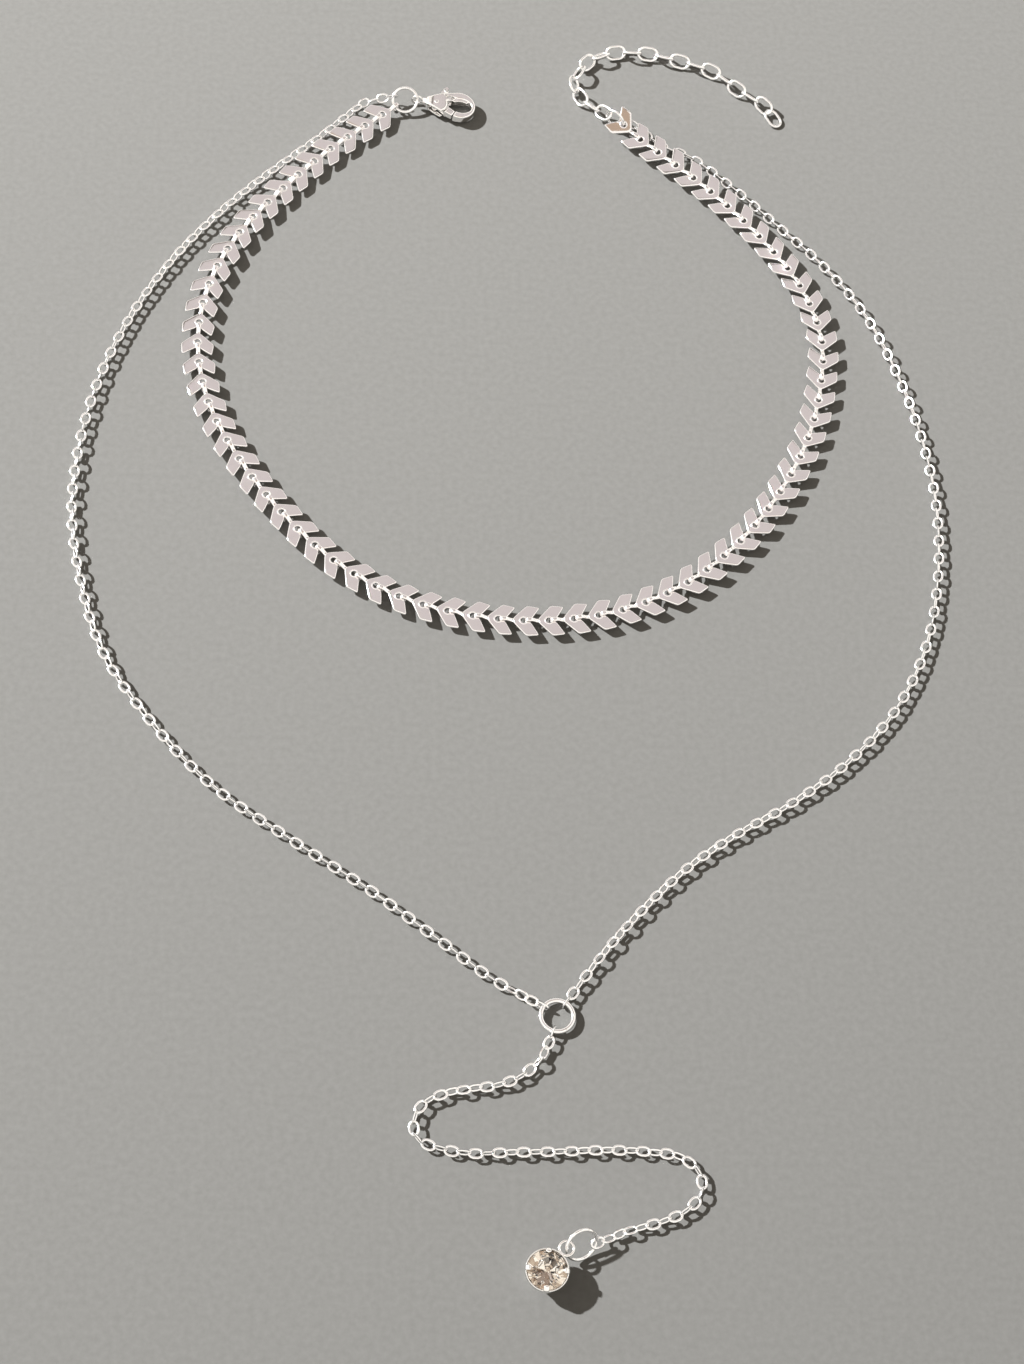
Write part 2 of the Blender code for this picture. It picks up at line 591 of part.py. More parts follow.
def about_pivot(points):
    return [(x - CLASP_PIVOT[0], y - CLASP_PIVOT[1]) for x, y in points]


gate_start = CLASP_CHEEK_RADIUS + CLASP_GAP
hook_outer = Vector(about_pivot(arc(loop_centre, CLASP_LOOP_RADIUS, CLASP_LOOP_RADIUS, -110, -110, 1))[0])
hook_inner = Vector(about_pivot(arc(opening_centre, *half_opening, -115, -115, 1))[0])
gate_reach = abs(hook_outer.cross((hook_inner - hook_outer).normalized())) - CLASP_GAP
gate = arc(CLASP_PIVOT, gate_start, gate_start, -8, -46, 4)
gate += arc(CLASP_PIVOT, gate_reach, gate_reach, math.degrees(math.atan2(hook_outer.y, hook_outer.x)),
            math.degrees(math.atan2(hook_inner.y, hook_inner.x)), 3)
tang = arc(CLASP_PIVOT, LEVER_DISC_RADIUS, LEVER_DISC_RADIUS, 100, 300, 7)
tang += [(CLASP_PIVOT[0] + gate_start * 1.15 * math.cos(math.radians(-44)),
          CLASP_PIVOT[1] + gate_start * 1.15 * math.sin(math.radians(-44)))]
tang += [(CLASP_PIVOT[0] + gate_start * 1.15 * math.cos(math.radians(-12)),
          CLASP_PIVOT[1] + gate_start * 1.15 * math.sin(math.radians(-12)))]
nub_right = CLASP_PIVOT[0] + LEVER_DISC_RADIUS * 2.3
nub_top = CLASP_LOOP_RADIUS * 1.22
tang += [(nub_right, CLASP_PIVOT[1] + LEVER_DISC_RADIUS), (nub_right, nub_top)]
tang += [(nub_right - LEVER_DISC_RADIUS, nub_top)]
pin_hole = arc(CLASP_PIVOT, CLASP_PIN_RADIUS + CLASP_GAP, CLASP_PIN_RADIUS + CLASP_GAP, 15, 345, 11)
clasp_lever = silver("clasp_lever", flat_outline([about_pivot(tang), about_pivot(pin_hole)],
                                                 LEVER_TANG_THICKNESS))
clasp_lever.parent = clasp_frame
clasp_lever.location = (*CLASP_PIVOT, 0)
helper("lever_gate", flat_outline([about_pivot(gate)], LEVER_GATE_THICKNESS), clasp_lever, "UNION",
       clasp_lever)

# Set crystal: a turned cup with claws and a bail loop, and the stone in it
pendant_frame = bpy.data.objects.new("pendant_frame", None)
cutters.objects.link(pendant_frame)
pendant_frame.location = (*PENDANT_PLACE, 0)


def cup_profile():
    """The cup's section from its middle up the inside, over the rim and down the outside."""
    inner = CRYSTAL_RADIUS + SETTING_GAP
    outer = inner + SETTING_WALL
    floor = SETTING_CULET_HEIGHT - SETTING_GAP * 2
    return [
        (0, floor),
        (inner, setting_height - SETTING_GAP),
        (inner, setting_height + CRYSTAL_GIRDLE),
        (outer, setting_height + CRYSTAL_GIRDLE),
        (outer, setting_height - BAIL_WIRE),
        (SETTING_BASE_RADIUS * 1.15, SETTING_GAP * 2),
        (SETTING_BASE_RADIUS, 0),
        (0, 0),
    ]


def turned(profile, steps):
    """A closed turned solid from a section that starts and ends on the axis."""
    shape = bmesh.new()
    knots = [shape.verts.new((r, 0, z)) for r, z in profile]
    for a, b in zip(knots, knots[1:]):
        shape.edges.new((a, b))
    mesh = bpy.data.meshes.new("profile")
    shape.to_mesh(mesh)
    shape.free()
    holder = bpy.data.objects.new("turned", mesh)
    cutters.objects.link(holder)
    screw = holder.modifiers.new("turn", "SCREW")
    screw.steps = steps
    screw.render_steps = steps
    screw.use_merge_vertices = True
    screw.merge_threshold = SEAM
    solid = evaluated(holder)
    shape = bmesh.new()
    shape.from_mesh(solid)
    bmesh.ops.remove_doubles(shape, verts=shape.verts, dist=SEAM)
    bmesh.ops.recalc_face_normals(shape, faces=shape.faces)
    shape.to_mesh(solid)
    shape.free()
    return solid


def claw():
    """A bent claw on the rim, seen from the side, with its tip over the crystal's crown."""
    inner = CRYSTAL_RADIUS + SETTING_GAP
    shoulder = setting_height + CRYSTAL_GIRDLE
    slope = CRYSTAL_CROWN / (CRYSTAL_RADIUS - CRYSTAL_TABLE_RADIUS)
    tip = CRYSTAL_RADIUS - (CRYSTAL_RADIUS - CRYSTAL_TABLE_RADIUS) * 0.45
    under = shoulder + (CRYSTAL_RADIUS - tip) * slope + SETTING_GAP * 1.6
    outline = [
        (inner, shoulder - SETTING_WALL * 3),
        (inner + CLAW_THICKNESS, shoulder - SETTING_WALL * 3),
        (inner + CLAW_THICKNESS, shoulder + CLAW_THICKNESS),
        (tip, under + CLAW_THICKNESS * 0.7),
        (tip, under),
        (inner, shoulder + SETTING_GAP * 1.2),
    ]
    mesh = flat_outline([outline], CLAW_WIDTH)
    mesh.transform(Matrix.Rotation(math.pi / 2, 4, "X"))
    return mesh


setting = silver("setting", turned(cup_profile(), 16))
setting.parent = pendant_frame
claw_mesh = claw()
claws = []
for k in range(CLAW_COUNT):
    claws.append((claw_mesh, Matrix.Rotation(CLAW_DIRECTION + 2 * math.pi * k / CLAW_COUNT, 4, "Z")))
helper("claws", joined("claws", claws), setting, "UNION", pendant_frame)
bail = ring_mesh(BAIL_RADIUS, BAIL_WIRE, 14)
bail.transform(Matrix.Translation(bail_place - pendant_frame.location))
helper("bail_loop", bail, setting, "UNION", pendant_frame)


def cut_stone():
    """A round cut crystal: table, eight crown facets and their corners, girdle, pavilion and culet."""
    shape = bmesh.new()
    rings = [
        (8, CRYSTAL_TABLE_RADIUS, CRYSTAL_GIRDLE + CRYSTAL_CROWN, 0),
        (16, CRYSTAL_RADIUS, CRYSTAL_GIRDLE, 0),
        (16, CRYSTAL_RADIUS, 0, 0),
        (8, CRYSTAL_RADIUS * 0.5, -CRYSTAL_PAVILION * 0.56, 0.5),
    ]
    for count, radius, height, shift in rings:
        for i in range(count):
            turn = 2 * math.pi * (i + shift) / count
            shape.verts.new((radius * math.cos(turn), radius * math.sin(turn), height))
    shape.verts.new((0, 0, -CRYSTAL_PAVILION + SETTING_GAP))
    bmesh.ops.convex_hull(shape, input=shape.verts)
    bmesh.ops.recalc_face_normals(shape, faces=shape.faces)
    mesh = bpy.data.meshes.new("crystal")
    shape.to_mesh(mesh)
    shape.free()
    return mesh


crystal = finish("crystal", cut_stone(), (0.86, 0.76, 0.62), 0.03, 0.0, smooth=False)
crystal.parent = pendant_frame
crystal.location = (0, 0, setting_height)
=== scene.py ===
# Lariat necklace, lying open: a plated fishbone choker and a long cable chain on one lobster clasp and
# one extender, with a drop chain and a set crystal.
import math

import bmesh
import bpy
from mathutils import Euler, Matrix, Vector
from mathutils.geometry import interpolate_bezier


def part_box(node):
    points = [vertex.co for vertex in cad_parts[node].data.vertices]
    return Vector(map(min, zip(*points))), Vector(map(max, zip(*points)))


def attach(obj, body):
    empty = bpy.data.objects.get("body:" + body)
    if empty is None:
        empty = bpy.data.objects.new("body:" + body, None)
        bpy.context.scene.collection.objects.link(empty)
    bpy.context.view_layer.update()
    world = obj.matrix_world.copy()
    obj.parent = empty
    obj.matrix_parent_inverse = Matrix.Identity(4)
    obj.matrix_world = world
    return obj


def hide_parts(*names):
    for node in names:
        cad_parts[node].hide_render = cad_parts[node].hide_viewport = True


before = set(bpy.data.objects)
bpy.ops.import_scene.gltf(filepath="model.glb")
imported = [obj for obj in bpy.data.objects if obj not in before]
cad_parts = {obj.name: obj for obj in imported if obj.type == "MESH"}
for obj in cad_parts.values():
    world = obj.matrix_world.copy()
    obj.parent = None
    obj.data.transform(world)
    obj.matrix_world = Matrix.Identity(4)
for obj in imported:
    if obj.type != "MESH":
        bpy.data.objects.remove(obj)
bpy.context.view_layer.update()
UP = Vector((0, 0, 1))

# Camera, floor and light: the necklace is seen from its pendant end, from above, on a pale matt card.
# A low sun-like lamp from the upper left gives crisp shadows. The studio round it is white, with a mauve
# panel that the flat plates mirror, a tan patch for the first plate and dark gaps for the round wires.
CAMERA_PLACE = Vector((-0.0439, -0.2396, 0.4094))
CAMERA_TARGET = Vector((-0.0007, -0.0192, 0))
CAMERA_ROLL = math.radians(11.1)
CAMERA_LENS = 67.8
LAMP_DIRECTION = Vector((5.14, -2.33, -4.0))
LAMP_STRENGTH = 24.0
LAMP_ANGLE = math.radians(1.6)
FLOOR_SIZE = 3.0
PANEL_DIRECTION = Vector((0.1, 0.47, 0.877)).normalized()
PANEL_REACH = math.radians(19)
PANEL_GAP = math.radians(4)
WARM_DIRECTION = Vector((0.235, 0.059, 0.97)).normalized()
WARM_REACH = math.radians(9)
WARM_COLOR = (0.50, 0.38, 0.29, 1)
# Painted light falloff on the card: its colour is scaled from 0.80 to 1.16 across it, lighter towards the
# lamp's side at the upper left and darker towards the lower right.
CARD_PAINTED_LIGHT_WAY = Vector((-0.5, 0.79, 0))
CARD_PAINTED_LIGHT_REACH = 0.18
CARD_PAINTED_LIGHT_SHADES = (0.80, 1.16)

camera = bpy.data.objects.new("camera", bpy.data.cameras.new("camera"))
bpy.context.scene.collection.objects.link(camera)
bpy.context.scene.camera = camera
camera.data.lens = CAMERA_LENS
camera.data.sensor_width = 36
camera.data.clip_start = 0.01
camera_turn = (CAMERA_TARGET - CAMERA_PLACE).to_track_quat("-Z", "Y").to_matrix().to_4x4()
camera.matrix_world = (Matrix.Translation(CAMERA_PLACE) @ camera_turn
                       @ Matrix.Rotation(CAMERA_ROLL, 4, "Z"))
bpy.context.scene.view_settings.view_transform = "Standard"

lamp = bpy.data.objects.new("lamp", bpy.data.lights.new("lamp", "SUN"))
lamp.data.energy = LAMP_STRENGTH
lamp.data.angle = LAMP_ANGLE
lamp.data.color = (0.89, 0.93, 1.0)
lamp.rotation_euler = LAMP_DIRECTION.to_track_quat("-Z", "Y").to_euler()
bpy.context.scene.collection.objects.link(lamp)


def add_node(tree, kind, inputs=None, **settings):
    """A node with its settings, its plain input values, and links from the sockets given as inputs."""
    node = tree.nodes.new(kind)
    for key, value in settings.items():
        setattr(node, key, value)
    for key, value in (inputs or {}).items():
        if isinstance(value, bpy.types.NodeSocket):
            tree.links.new(value, node.inputs[key])
        else:
            node.inputs[key].default_value = value
    return node


def color_steps(tree, source, steps):
    """A colour ramp from pairs of position and colour."""
    ramp = add_node(tree, "ShaderNodeValToRGB", {"Fac": source})
    stops = ramp.color_ramp.elements
    while len(stops) < len(steps):
        stops.new(1.0)
    for stop, (position, color) in zip(stops, steps):
        stop.position = position
        stop.color = (*color, 1)
    return ramp.outputs["Color"]


def new_material(name):
    """A material, its node tree, its shader and its Object coordinates."""
    material = bpy.data.materials.new(name)
    material.use_nodes = True
    tree = material.node_tree
    place = add_node(tree, "ShaderNodeTexCoord").outputs["Object"]
    return material, tree, tree.nodes["Principled BSDF"], place


studio = bpy.data.worlds.new("studio")
bpy.context.scene.world = studio
studio.use_nodes = True
sky = studio.node_tree
way = add_node(sky, "ShaderNodeTexCoord").outputs["Generated"]


def toward(direction):
    """The cosine of the angle between the way that is seen and a direction."""
    return add_node(sky, "ShaderNodeVectorMath", {0: way, 1: direction}, operation="DOT_PRODUCT").outputs[1]


def patched(under, over, nearness, outer, inner):
    """One colour over another, from an outer angle in to an inner one."""
    share = add_node(sky, "ShaderNodeMapRange", {
        "Value": nearness, "From Min": math.cos(outer), "From Max": math.cos(inner)}).outputs["Result"]
    return add_node(sky, "ShaderNodeMix", {0: share, 6: under, 7: over}, data_type="RGBA").outputs[2]


height = add_node(sky, "ShaderNodeSeparateXYZ", {"Vector": way}).outputs["Z"]
walls = color_steps(sky, height, [
    (0.0, (0.30, 0.28, 0.26)),
    (0.04, (0.08, 0.07, 0.06)),
    (0.09, (1.20, 1.15, 1.07)),
    (0.33, (1.18, 1.14, 1.07)),
    (0.36, (0.22, 0.20, 0.18)),
    (0.39, (1.15, 1.11, 1.05)),
    (1.0, (1.15, 1.11, 1.05)),
])
near_panel = toward(PANEL_DIRECTION)
panel = color_steps(sky, near_panel, [
    (math.cos(PANEL_REACH + PANEL_GAP), (0.16, 0.13, 0.11)),
    (math.cos(PANEL_REACH + PANEL_GAP / 2), (0.16, 0.13, 0.11)),
    (math.cos(PANEL_REACH), (0.65, 0.59, 0.58)),
    (1.0, (0.65, 0.59, 0.58)),
])
studio_color = patched(walls, panel, near_panel, PANEL_REACH + PANEL_GAP * 1.3, PANEL_REACH + PANEL_GAP)
studio_color = patched(studio_color, WARM_COLOR, toward(WARM_DIRECTION), WARM_REACH * 1.2, WARM_REACH)
sky.links.new(studio_color, sky.nodes["Background"].inputs["Color"])

card, card_tree, card_shader, card_place = new_material("pale_card")
card_grain = add_node(card_tree, "ShaderNodeTexNoise", {"Vector": card_place, "Scale": 900.0, "Detail": 4.0})
card_color = color_steps(card_tree, card_grain.outputs["Fac"], [
    (0.3, (0.0747, 0.0708, 0.0630)),
    (0.7, (0.0837, 0.0794, 0.0710)),
])
# Painted light: the card's colour is made lighter towards the upper left and darker towards the lower right,
# in place of the lamp's falloff over the card.
card_painted_light_side = add_node(card_tree, "ShaderNodeVectorMath", {
    0: card_place, 1: CARD_PAINTED_LIGHT_WAY}, operation="DOT_PRODUCT")
card_painted_light = add_node(card_tree, "ShaderNodeMapRange", {
    "Value": card_painted_light_side.outputs["Value"], "From Min": -CARD_PAINTED_LIGHT_REACH, "From Max": CARD_PAINTED_LIGHT_REACH,
    "To Min": CARD_PAINTED_LIGHT_SHADES[0], "To Max": CARD_PAINTED_LIGHT_SHADES[1]})
card_with_painted_light = add_node(card_tree, "ShaderNodeVectorMath", {
    0: card_color, "Scale": card_painted_light.outputs["Result"]}, operation="SCALE")
card_tree.links.new(card_with_painted_light.outputs["Vector"], card_shader.inputs["Base Color"])
card_shader.inputs["Roughness"].default_value = 0.9
card_shader.inputs["Specular IOR Level"].default_value = 0.1
bpy.ops.mesh.primitive_plane_add(size=FLOOR_SIZE, location=(0, 0, 0))
floor = bpy.context.object
floor.name = "floor"
floor.data.materials.append(card)

# Silver plating: every metal piece is brass or iron plated bright silver, with a faint haze, hairline
# polishing marks and slightly warm and cool patches.
def plating_group():
    """Plating's colour, roughness and normal, from a place on the piece."""
    group = bpy.data.node_groups.new("silver plating", "ShaderNodeTree")
    for label, kind in (("Place", "Vector"), ("Light Tint", "Color"), ("Deep Tint", "Color"),
                        ("Lowest Roughness", "Float"), ("Highest Roughness", "Float"),
                        ("Mark Depth", "Float")):
        group.interface.new_socket(label, in_out="INPUT", socket_type="NodeSocket" + kind)
    for label, kind in (("Base Color", "Color"), ("Roughness", "Float"), ("Normal", "Vector")):
        group.interface.new_socket(label, in_out="OUTPUT", socket_type="NodeSocket" + kind)
    given = add_node(group, "NodeGroupInput").outputs
    patches = add_node(group, "ShaderNodeTexNoise", {"Vector": given["Place"], "Scale": 700.0, "Detail": 2.0})
    haze = add_node(group, "ShaderNodeTexNoise", {"Vector": given["Place"], "Scale": 2600.0, "Detail": 3.0})
    stretch = add_node(group, "ShaderNodeMapping", {"Vector": given["Place"], "Scale": (1.0, 14.0, 3.0)})
    marks = add_node(group, "ShaderNodeTexNoise", {
        "Vector": stretch.outputs["Vector"], "Scale": 1500.0, "Detail": 2.0})
    tint = add_node(group, "ShaderNodeMix", {
        0: patches.outputs["Fac"], 6: given["Light Tint"], 7: given["Deep Tint"]}, data_type="RGBA")
    spread = add_node(group, "ShaderNodeMapRange", {
        "Value": haze.outputs["Fac"], "From Min": 0.3, "From Max": 0.7,
        "To Min": given["Lowest Roughness"], "To Max": given["Highest Roughness"]})
    bump = add_node(group, "ShaderNodeBump", {
        "Height": marks.outputs["Fac"], "Strength": given["Mark Depth"], "Distance": 0.00002})
    add_node(group, "NodeGroupOutput", {"Base Color": tint.outputs[2], "Roughness": spread.outputs["Result"],
                                        "Normal": bump.outputs["Normal"]})
    return group


plating = plating_group()


def silver(name, light, deep, lowest, highest, marks):
    """A plated finish: its two tints, the limits of its roughness and the depth of its polishing marks."""
    finish, tree, shader, place = new_material(name)
    finish["slot"] = name
    worked = add_node(tree, "ShaderNodeGroup", {
        "Place": place, "Light Tint": (*light, 1), "Deep Tint": (*deep, 1), "Lowest Roughness": lowest,
        "Highest Roughness": highest, "Mark Depth": marks}, node_tree=plating)
    for output in worked.outputs:
        tree.links.new(output, shader.inputs[output.name])
    shader.inputs["Metallic"].default_value = 1.0
    return finish


# Fishbone choker: 71 stamped chevron plates, each drawn at its tip into a tab that goes over the next
# plate's notch, down through its hole and back under it. Plated sheet with soft rolled edges.
PLATE_COUNT = 71
PLATE_PITCH = 0.004695
PLATE_THICKNESS = 0.0005
PLATE_APEX = 0.00235
PLATE_FRONT_HALF_WIDTH = 0.0032
PLATE_REAR_HALF_WIDTH = 0.0029
PLATE_SHOULDER = 0.0005
PLATE_REAR = 0.0030
PLATE_NOTCH = 0.0012
PLATE_CORNER = 0.0005
PLATE_EDGE = 0.00022
HOLE_REAR = 0.00055
HOLE_RADIUS = 0.00055
HOLE_COLLAR = 0.00034
HOLE_COLLAR_RISE = 0.00008
TAB_WIDTH = 0.0008
TAB_THICKNESS = 0.0004
TAB_CLEARANCE = 0.00012
TAB_CURL = 0.0008
HOOK_DEPTH = 0.0014
FIRST_END_RAISE = 0.0006
LAST_END_RAISE = 0.0002
END_LEAN = math.radians(12)
RAISED_PLATES = 9
RAMP_PLATES = 5
FIRST_PLATE_TILT = math.radians(15)
PLATE_WOBBLE = math.radians(0.9)
STRAP_FULLNESS = 0.6
WELD = 1e-7
CHOKER_ROUTE = [
    (0.0250, 0.1099), (0.0318, 0.1038), (0.0423, 0.0941), (0.0520, 0.0830), (0.0597, 0.0700),
    (0.0625, 0.0577), (0.0615, 0.0480), (0.0579, 0.0350), (0.0516, 0.0226), (0.0431, 0.0113),
    (0.0329, 0.0022), (0.0205, -0.0042), (0.0064, -0.0070), (-0.0077, -0.0064), (-0.0213, -0.0027),
    (-0.0333, 0.0046), (-0.0429, 0.0145), (-0.0511, 0.0260), (-0.0574, 0.0388), (-0.0599, 0.0523),
    (-0.0582, 0.0665), (-0.0526, 0.0794), (-0.0443, 0.0907), (-0.0347, 0.1015), (-0.0245, 0.1107),
]

plate_silver = silver("plate_silver", (0.97, 0.95, 0.94), (0.93, 0.905, 0.895), 0.05, 0.12, 0.03)


def smooth_path(route, steps=12):
    """Close points on a smooth curve through a route's points, each with its distance along the curve."""
    route = [Vector(place) for place in route]
    spans = [(b - a).length for a, b in zip(route, route[1:])]
    chords = [(b - a).normalized() for a, b in zip(route, route[1:])]
    slopes = [chords[0]]
    for i in range(1, len(route) - 1):
        slopes.append((chords[i - 1] * spans[i] + chords[i] * spans[i - 1]).normalized())
    slopes.append(chords[-1])
    line = []
    for i, span in enumerate(spans):
        reach = span / 3
        a, b = route[i], route[i + 1]
        line += interpolate_bezier(a, a + slopes[i] * reach, b - slopes[i + 1] * reach, b, steps + 1)[:-1]
    line.append(route[-1])
    lengths = [0.0]
    for a, b in zip(line, line[1:]):
        lengths.append(lengths[-1] + (b - a).length)
    return line, lengths


def along(path, distance):
    """The point at a distance along a path, which runs straight on past its two ends."""
    line, lengths = path
    i = 0
    while i < len(line) - 2 and lengths[i + 1] < distance:
        i += 1
    share = (distance - lengths[i]) / (lengths[i + 1] - lengths[i])
    return line[i] + (line[i + 1] - line[i]) * share


def frame_at(origin, forward, level):
    """A matrix with x forward and y as near as can be to level."""
    x = forward.normalized()
    z = x.cross(level).normalized()
    y = z.cross(x)
    return Matrix.Translation(origin) @ Matrix((x, y, z)).transposed().to_4x4()


def placed(name, mesh, finish=None):
    """An object of a mesh, in the scene."""
    thing = bpy.data.objects.new(name, mesh)
    bpy.context.scene.collection.objects.link(thing)
    if finish:
        mesh.materials.clear()
        mesh.materials.append(finish)
    return thing


def plain_mesh(thing):
    """The mesh of an object as its modifiers leave it, after which the object is removed."""
    graph = bpy.context.evaluated_depsgraph_get()
    mesh = bpy.data.meshes.new_from_object(thing.evaluated_get(graph))
    bpy.data.objects.remove(thing)
    return mesh


def closed_mesh(shape):
    """The mesh of a closed shape, with its seams welded and its faces turned outward."""
    bmesh.ops.remove_doubles(shape, verts=shape.verts, dist=WELD)
    bmesh.ops.recalc_face_normals(shape, faces=shape.faces)
    mesh = bpy.data.meshes.new("shape")
    shape.to_mesh(mesh)
    shape.free()
    return mesh


def sheet_of(outlines, thickness, roll, steps=3):
    """A flat sheet of an outline, less any clockwise ones inside it, with its edges rolled over."""
    curve = bpy.data.curves.new("outline", "CURVE")
    curve.dimensions = "2D"
    curve.fill_mode = "BOTH"
    curve.extrude = thickness / 2 - roll
    curve.bevel_depth = roll
    curve.bevel_resolution = steps
    curve.offset = -roll
    for outline in outlines:
        spline = curve.splines.new("POLY")
        spline.points.add(len(outline) - 1)
        for knot, (x, y) in zip(spline.points, outline):
            knot.co = (x, y, 0, 1)
        spline.use_cyclic_u = True
    shape = bmesh.new()
    shape.from_mesh(plain_mesh(placed("sheet", curve)))
    return closed_mesh(shape)


def arc(centre, radius_x, radius_y, start, end, steps):
    """Points on an ellipse's arc, in degrees from start to end."""
    return [
        (centre[0] + radius_x * math.cos(math.radians(start + (end - start) * i / steps)),
         centre[1] + radius_y * math.sin(math.radians(start + (end - start) * i / steps)))
        for i in range(steps + 1)
    ]


def softened(outline, radius, steps=3):
    """An outline with each corner rounded by a short curve, which keeps to its own half of a side."""
    points = []
    for i, corner in enumerate(outline):
        corner = Vector(corner)
        before = Vector(outline[i - 1])
        after = Vector(outline[(i + 1) % len(outline)])
        start = corner + (before - corner) * min(0.45, radius / (before - corner).length)
        end = corner + (after - corner) * min(0.45, radius / (after - corner).length)
        for k in range(steps + 1):
            t = k / steps
            points.append(start * (1 - t) ** 2 + corner * 2 * t * (1 - t) + end * t ** 2)
    return [(p.x, p.y) for p in points]


def swept(line, half_width, half_thickness, sides=12, shares=None):
    """A strap with a rounded section along a line of (x, z) points, its width across y, and thinned at
    each point to its share."""
    line = [Vector(p) for p in line]
    shares = shares or [1.0] * len(line)
    shape = bmesh.new()
    loops = []
    for i, here in enumerate(line):
        run = (line[min(i + 1, len(line) - 1)] - line[max(i - 1, 0)]).normalized()
        across = Vector((-run.y, run.x))
        loop = []
        for k in range(sides):
            turn = 2 * math.pi * (k + 0.5) / sides
            wide = math.copysign(abs(math.cos(turn)) ** STRAP_FULLNESS, math.cos(turn)) * half_width
            thick = math.copysign(abs(math.sin(turn)) ** STRAP_FULLNESS, math.sin(turn)) * half_thickness
            reach = across * thick * shares[i]
            loop.append(shape.verts.new((here.x + reach.x, wide * shares[i], here.y + reach.y)))
        loops.append(loop)
    for a, b in zip(loops, loops[1:]):
        for k in range(sides):
            shape.faces.new((a[k], a[(k + 1) % sides], b[(k + 1) % sides], b[k]))
    shape.faces.new(loops[0])
    shape.faces.new(loops[-1][::-1])
    return closed_mesh(shape)


def turned(profile, steps, angle=2 * math.pi):
    """A closed mesh turned about z, from a section that is closed or has both ends on the axis. Where the
    turn isn't full, its two ends are capped."""
    shape = bmesh.new()
    corners = [shape.verts.new((radius, 0, height)) for radius, height in profile]
    edges = [shape.edges.new(pair) for pair in zip(corners, corners[1:])]
    bmesh.ops.spin(shape, geom=corners + edges, axis=UP, angle=angle, steps=steps)
    bmesh.ops.remove_doubles(shape, verts=shape.verts, dist=WELD)
    open_edges = [edge for edge in shape.edges if edge.is_boundary]
    bmesh.ops.holes_fill(shape, edges=open_edges, sides=len(profile))
    return closed_mesh(shape)


def wire_loop(radius, wire, sides, wire_sides, angle=2 * math.pi):
    """A ring of round wire, flat on z = 0."""
    return turned(arc((radius, 0), wire / 2, wire / 2, 0, 360, wire_sides), sides, angle)


def united(mesh, *others, operation="UNION"):
    """One closed mesh of several, or the first less the others."""
    base = placed("base", mesh)
    tools = []
    for other in others:
        tool = placed("tool", other)
        tools.append(tool)
        joint = base.modifiers.new("joint", "BOOLEAN")
        joint.operation = operation
        joint.solver = "EXACT"
        joint.object = tool
    result = plain_mesh(base)
    for tool in tools:
        bpy.data.objects.remove(tool)
    return result


def shaded(mesh, angle=50):
    """The mesh shaded smooth but for its sharp edges."""
    mesh.shade_smooth()
    mesh.set_sharp_from_angle(angle=math.radians(angle))
    return mesh


def chevron_plate():
    """One plate about its own hole, pointing along x, with its tab."""
    half_tab = TAB_WIDTH / 2
    tip = PLATE_APEX - half_tab * (PLATE_APEX + PLATE_SHOULDER) / PLATE_FRONT_HALF_WIDTH
    outline = softened([
        (tip, -half_tab),
        (tip, half_tab),
        (-PLATE_SHOULDER, PLATE_FRONT_HALF_WIDTH),
        (-PLATE_REAR, PLATE_REAR_HALF_WIDTH),
        (-PLATE_NOTCH, 0),
        (-PLATE_REAR, -PLATE_REAR_HALF_WIDTH),
        (-PLATE_SHOULDER, -PLATE_FRONT_HALF_WIDTH),
    ], PLATE_CORNER)
    hole = arc((0, 0), HOLE_RADIUS, HOLE_RADIUS, 340, 0, 17)
    plate = sheet_of([outline, hole], PLATE_THICKNESS, PLATE_EDGE)
    collar = wire_loop(HOLE_RADIUS + HOLE_COLLAR / 2, HOLE_COLLAR, 24, 10)
    collar.transform(Matrix.Translation(UP * ((PLATE_THICKNESS - HOLE_COLLAR) / 2 + HOLE_COLLAR_RISE)))
    mid_over = PLATE_THICKNESS / 2 + TAB_CLEARANCE + TAB_THICKNESS / 2
    crest = PLATE_PITCH - PLATE_NOTCH
    finger = PLATE_PITCH - HOLE_REAR - TAB_CLEARANCE / 2 + TAB_THICKNESS / 2
    low = -HOOK_DEPTH + TAB_THICKNESS / 2
    bend = TAB_THICKNESS * 0.6
    line, _ = smooth_path([
        (tip - TAB_THICKNESS * 2, 0, 0),
        (tip + TAB_THICKNESS * 0.3, 0, 0),
        (crest - TAB_THICKNESS * 0.4, mid_over, 0),
        (finger - bend, mid_over, 0),
        (finger, mid_over - bend, 0),
        (finger, low + bend, 0),
        (finger - bend, low, 0),
        (finger - TAB_THICKNESS / 2 - TAB_CURL, low, 0),
    ], steps=4)
    tab = swept([(p.x, p.y) for p in line], half_tab, TAB_THICKNESS / 2)
    return shaded(united(plate, collar, tab), 60)


def plate_frames():
    """Each plate's frame: its hole on the route, its apex towards the next hole, leaning on the chain
    that passes under the ends' outer side, and the first plate tipped up by its ring."""
    path = smooth_path([(x, y, 0) for x, y in CHOKER_ROUTE])
    places = []
    leans = []
    for k in range(PLATE_COUNT + 1):
        first = k < PLATE_COUNT / 2
        from_end = k if first else PLATE_COUNT - 1 - k
        share = min(1.0, max(0.0, (RAISED_PLATES - from_end) / RAMP_PLATES))
        share = share * share * (3 - 2 * share)
        lift = share * (FIRST_END_RAISE if first else LAST_END_RAISE)
        places.append(along(path, k * PLATE_PITCH) + UP * (HOOK_DEPTH + lift))
        leans.append(Matrix.Rotation(END_LEAN * share, 4, "X"))
    frames = [frame_at(a, b - a, UP.cross(b - a)) @ lean for a, b, lean in zip(places, places[1:], leans)]
    finger = Matrix.Translation((PLATE_PITCH - HOLE_REAR, 0, 0))
    frames[0] = frames[0] @ finger @ Matrix.Rotation(FIRST_PLATE_TILT, 4, "Y") @ finger.inverted()
    return frames


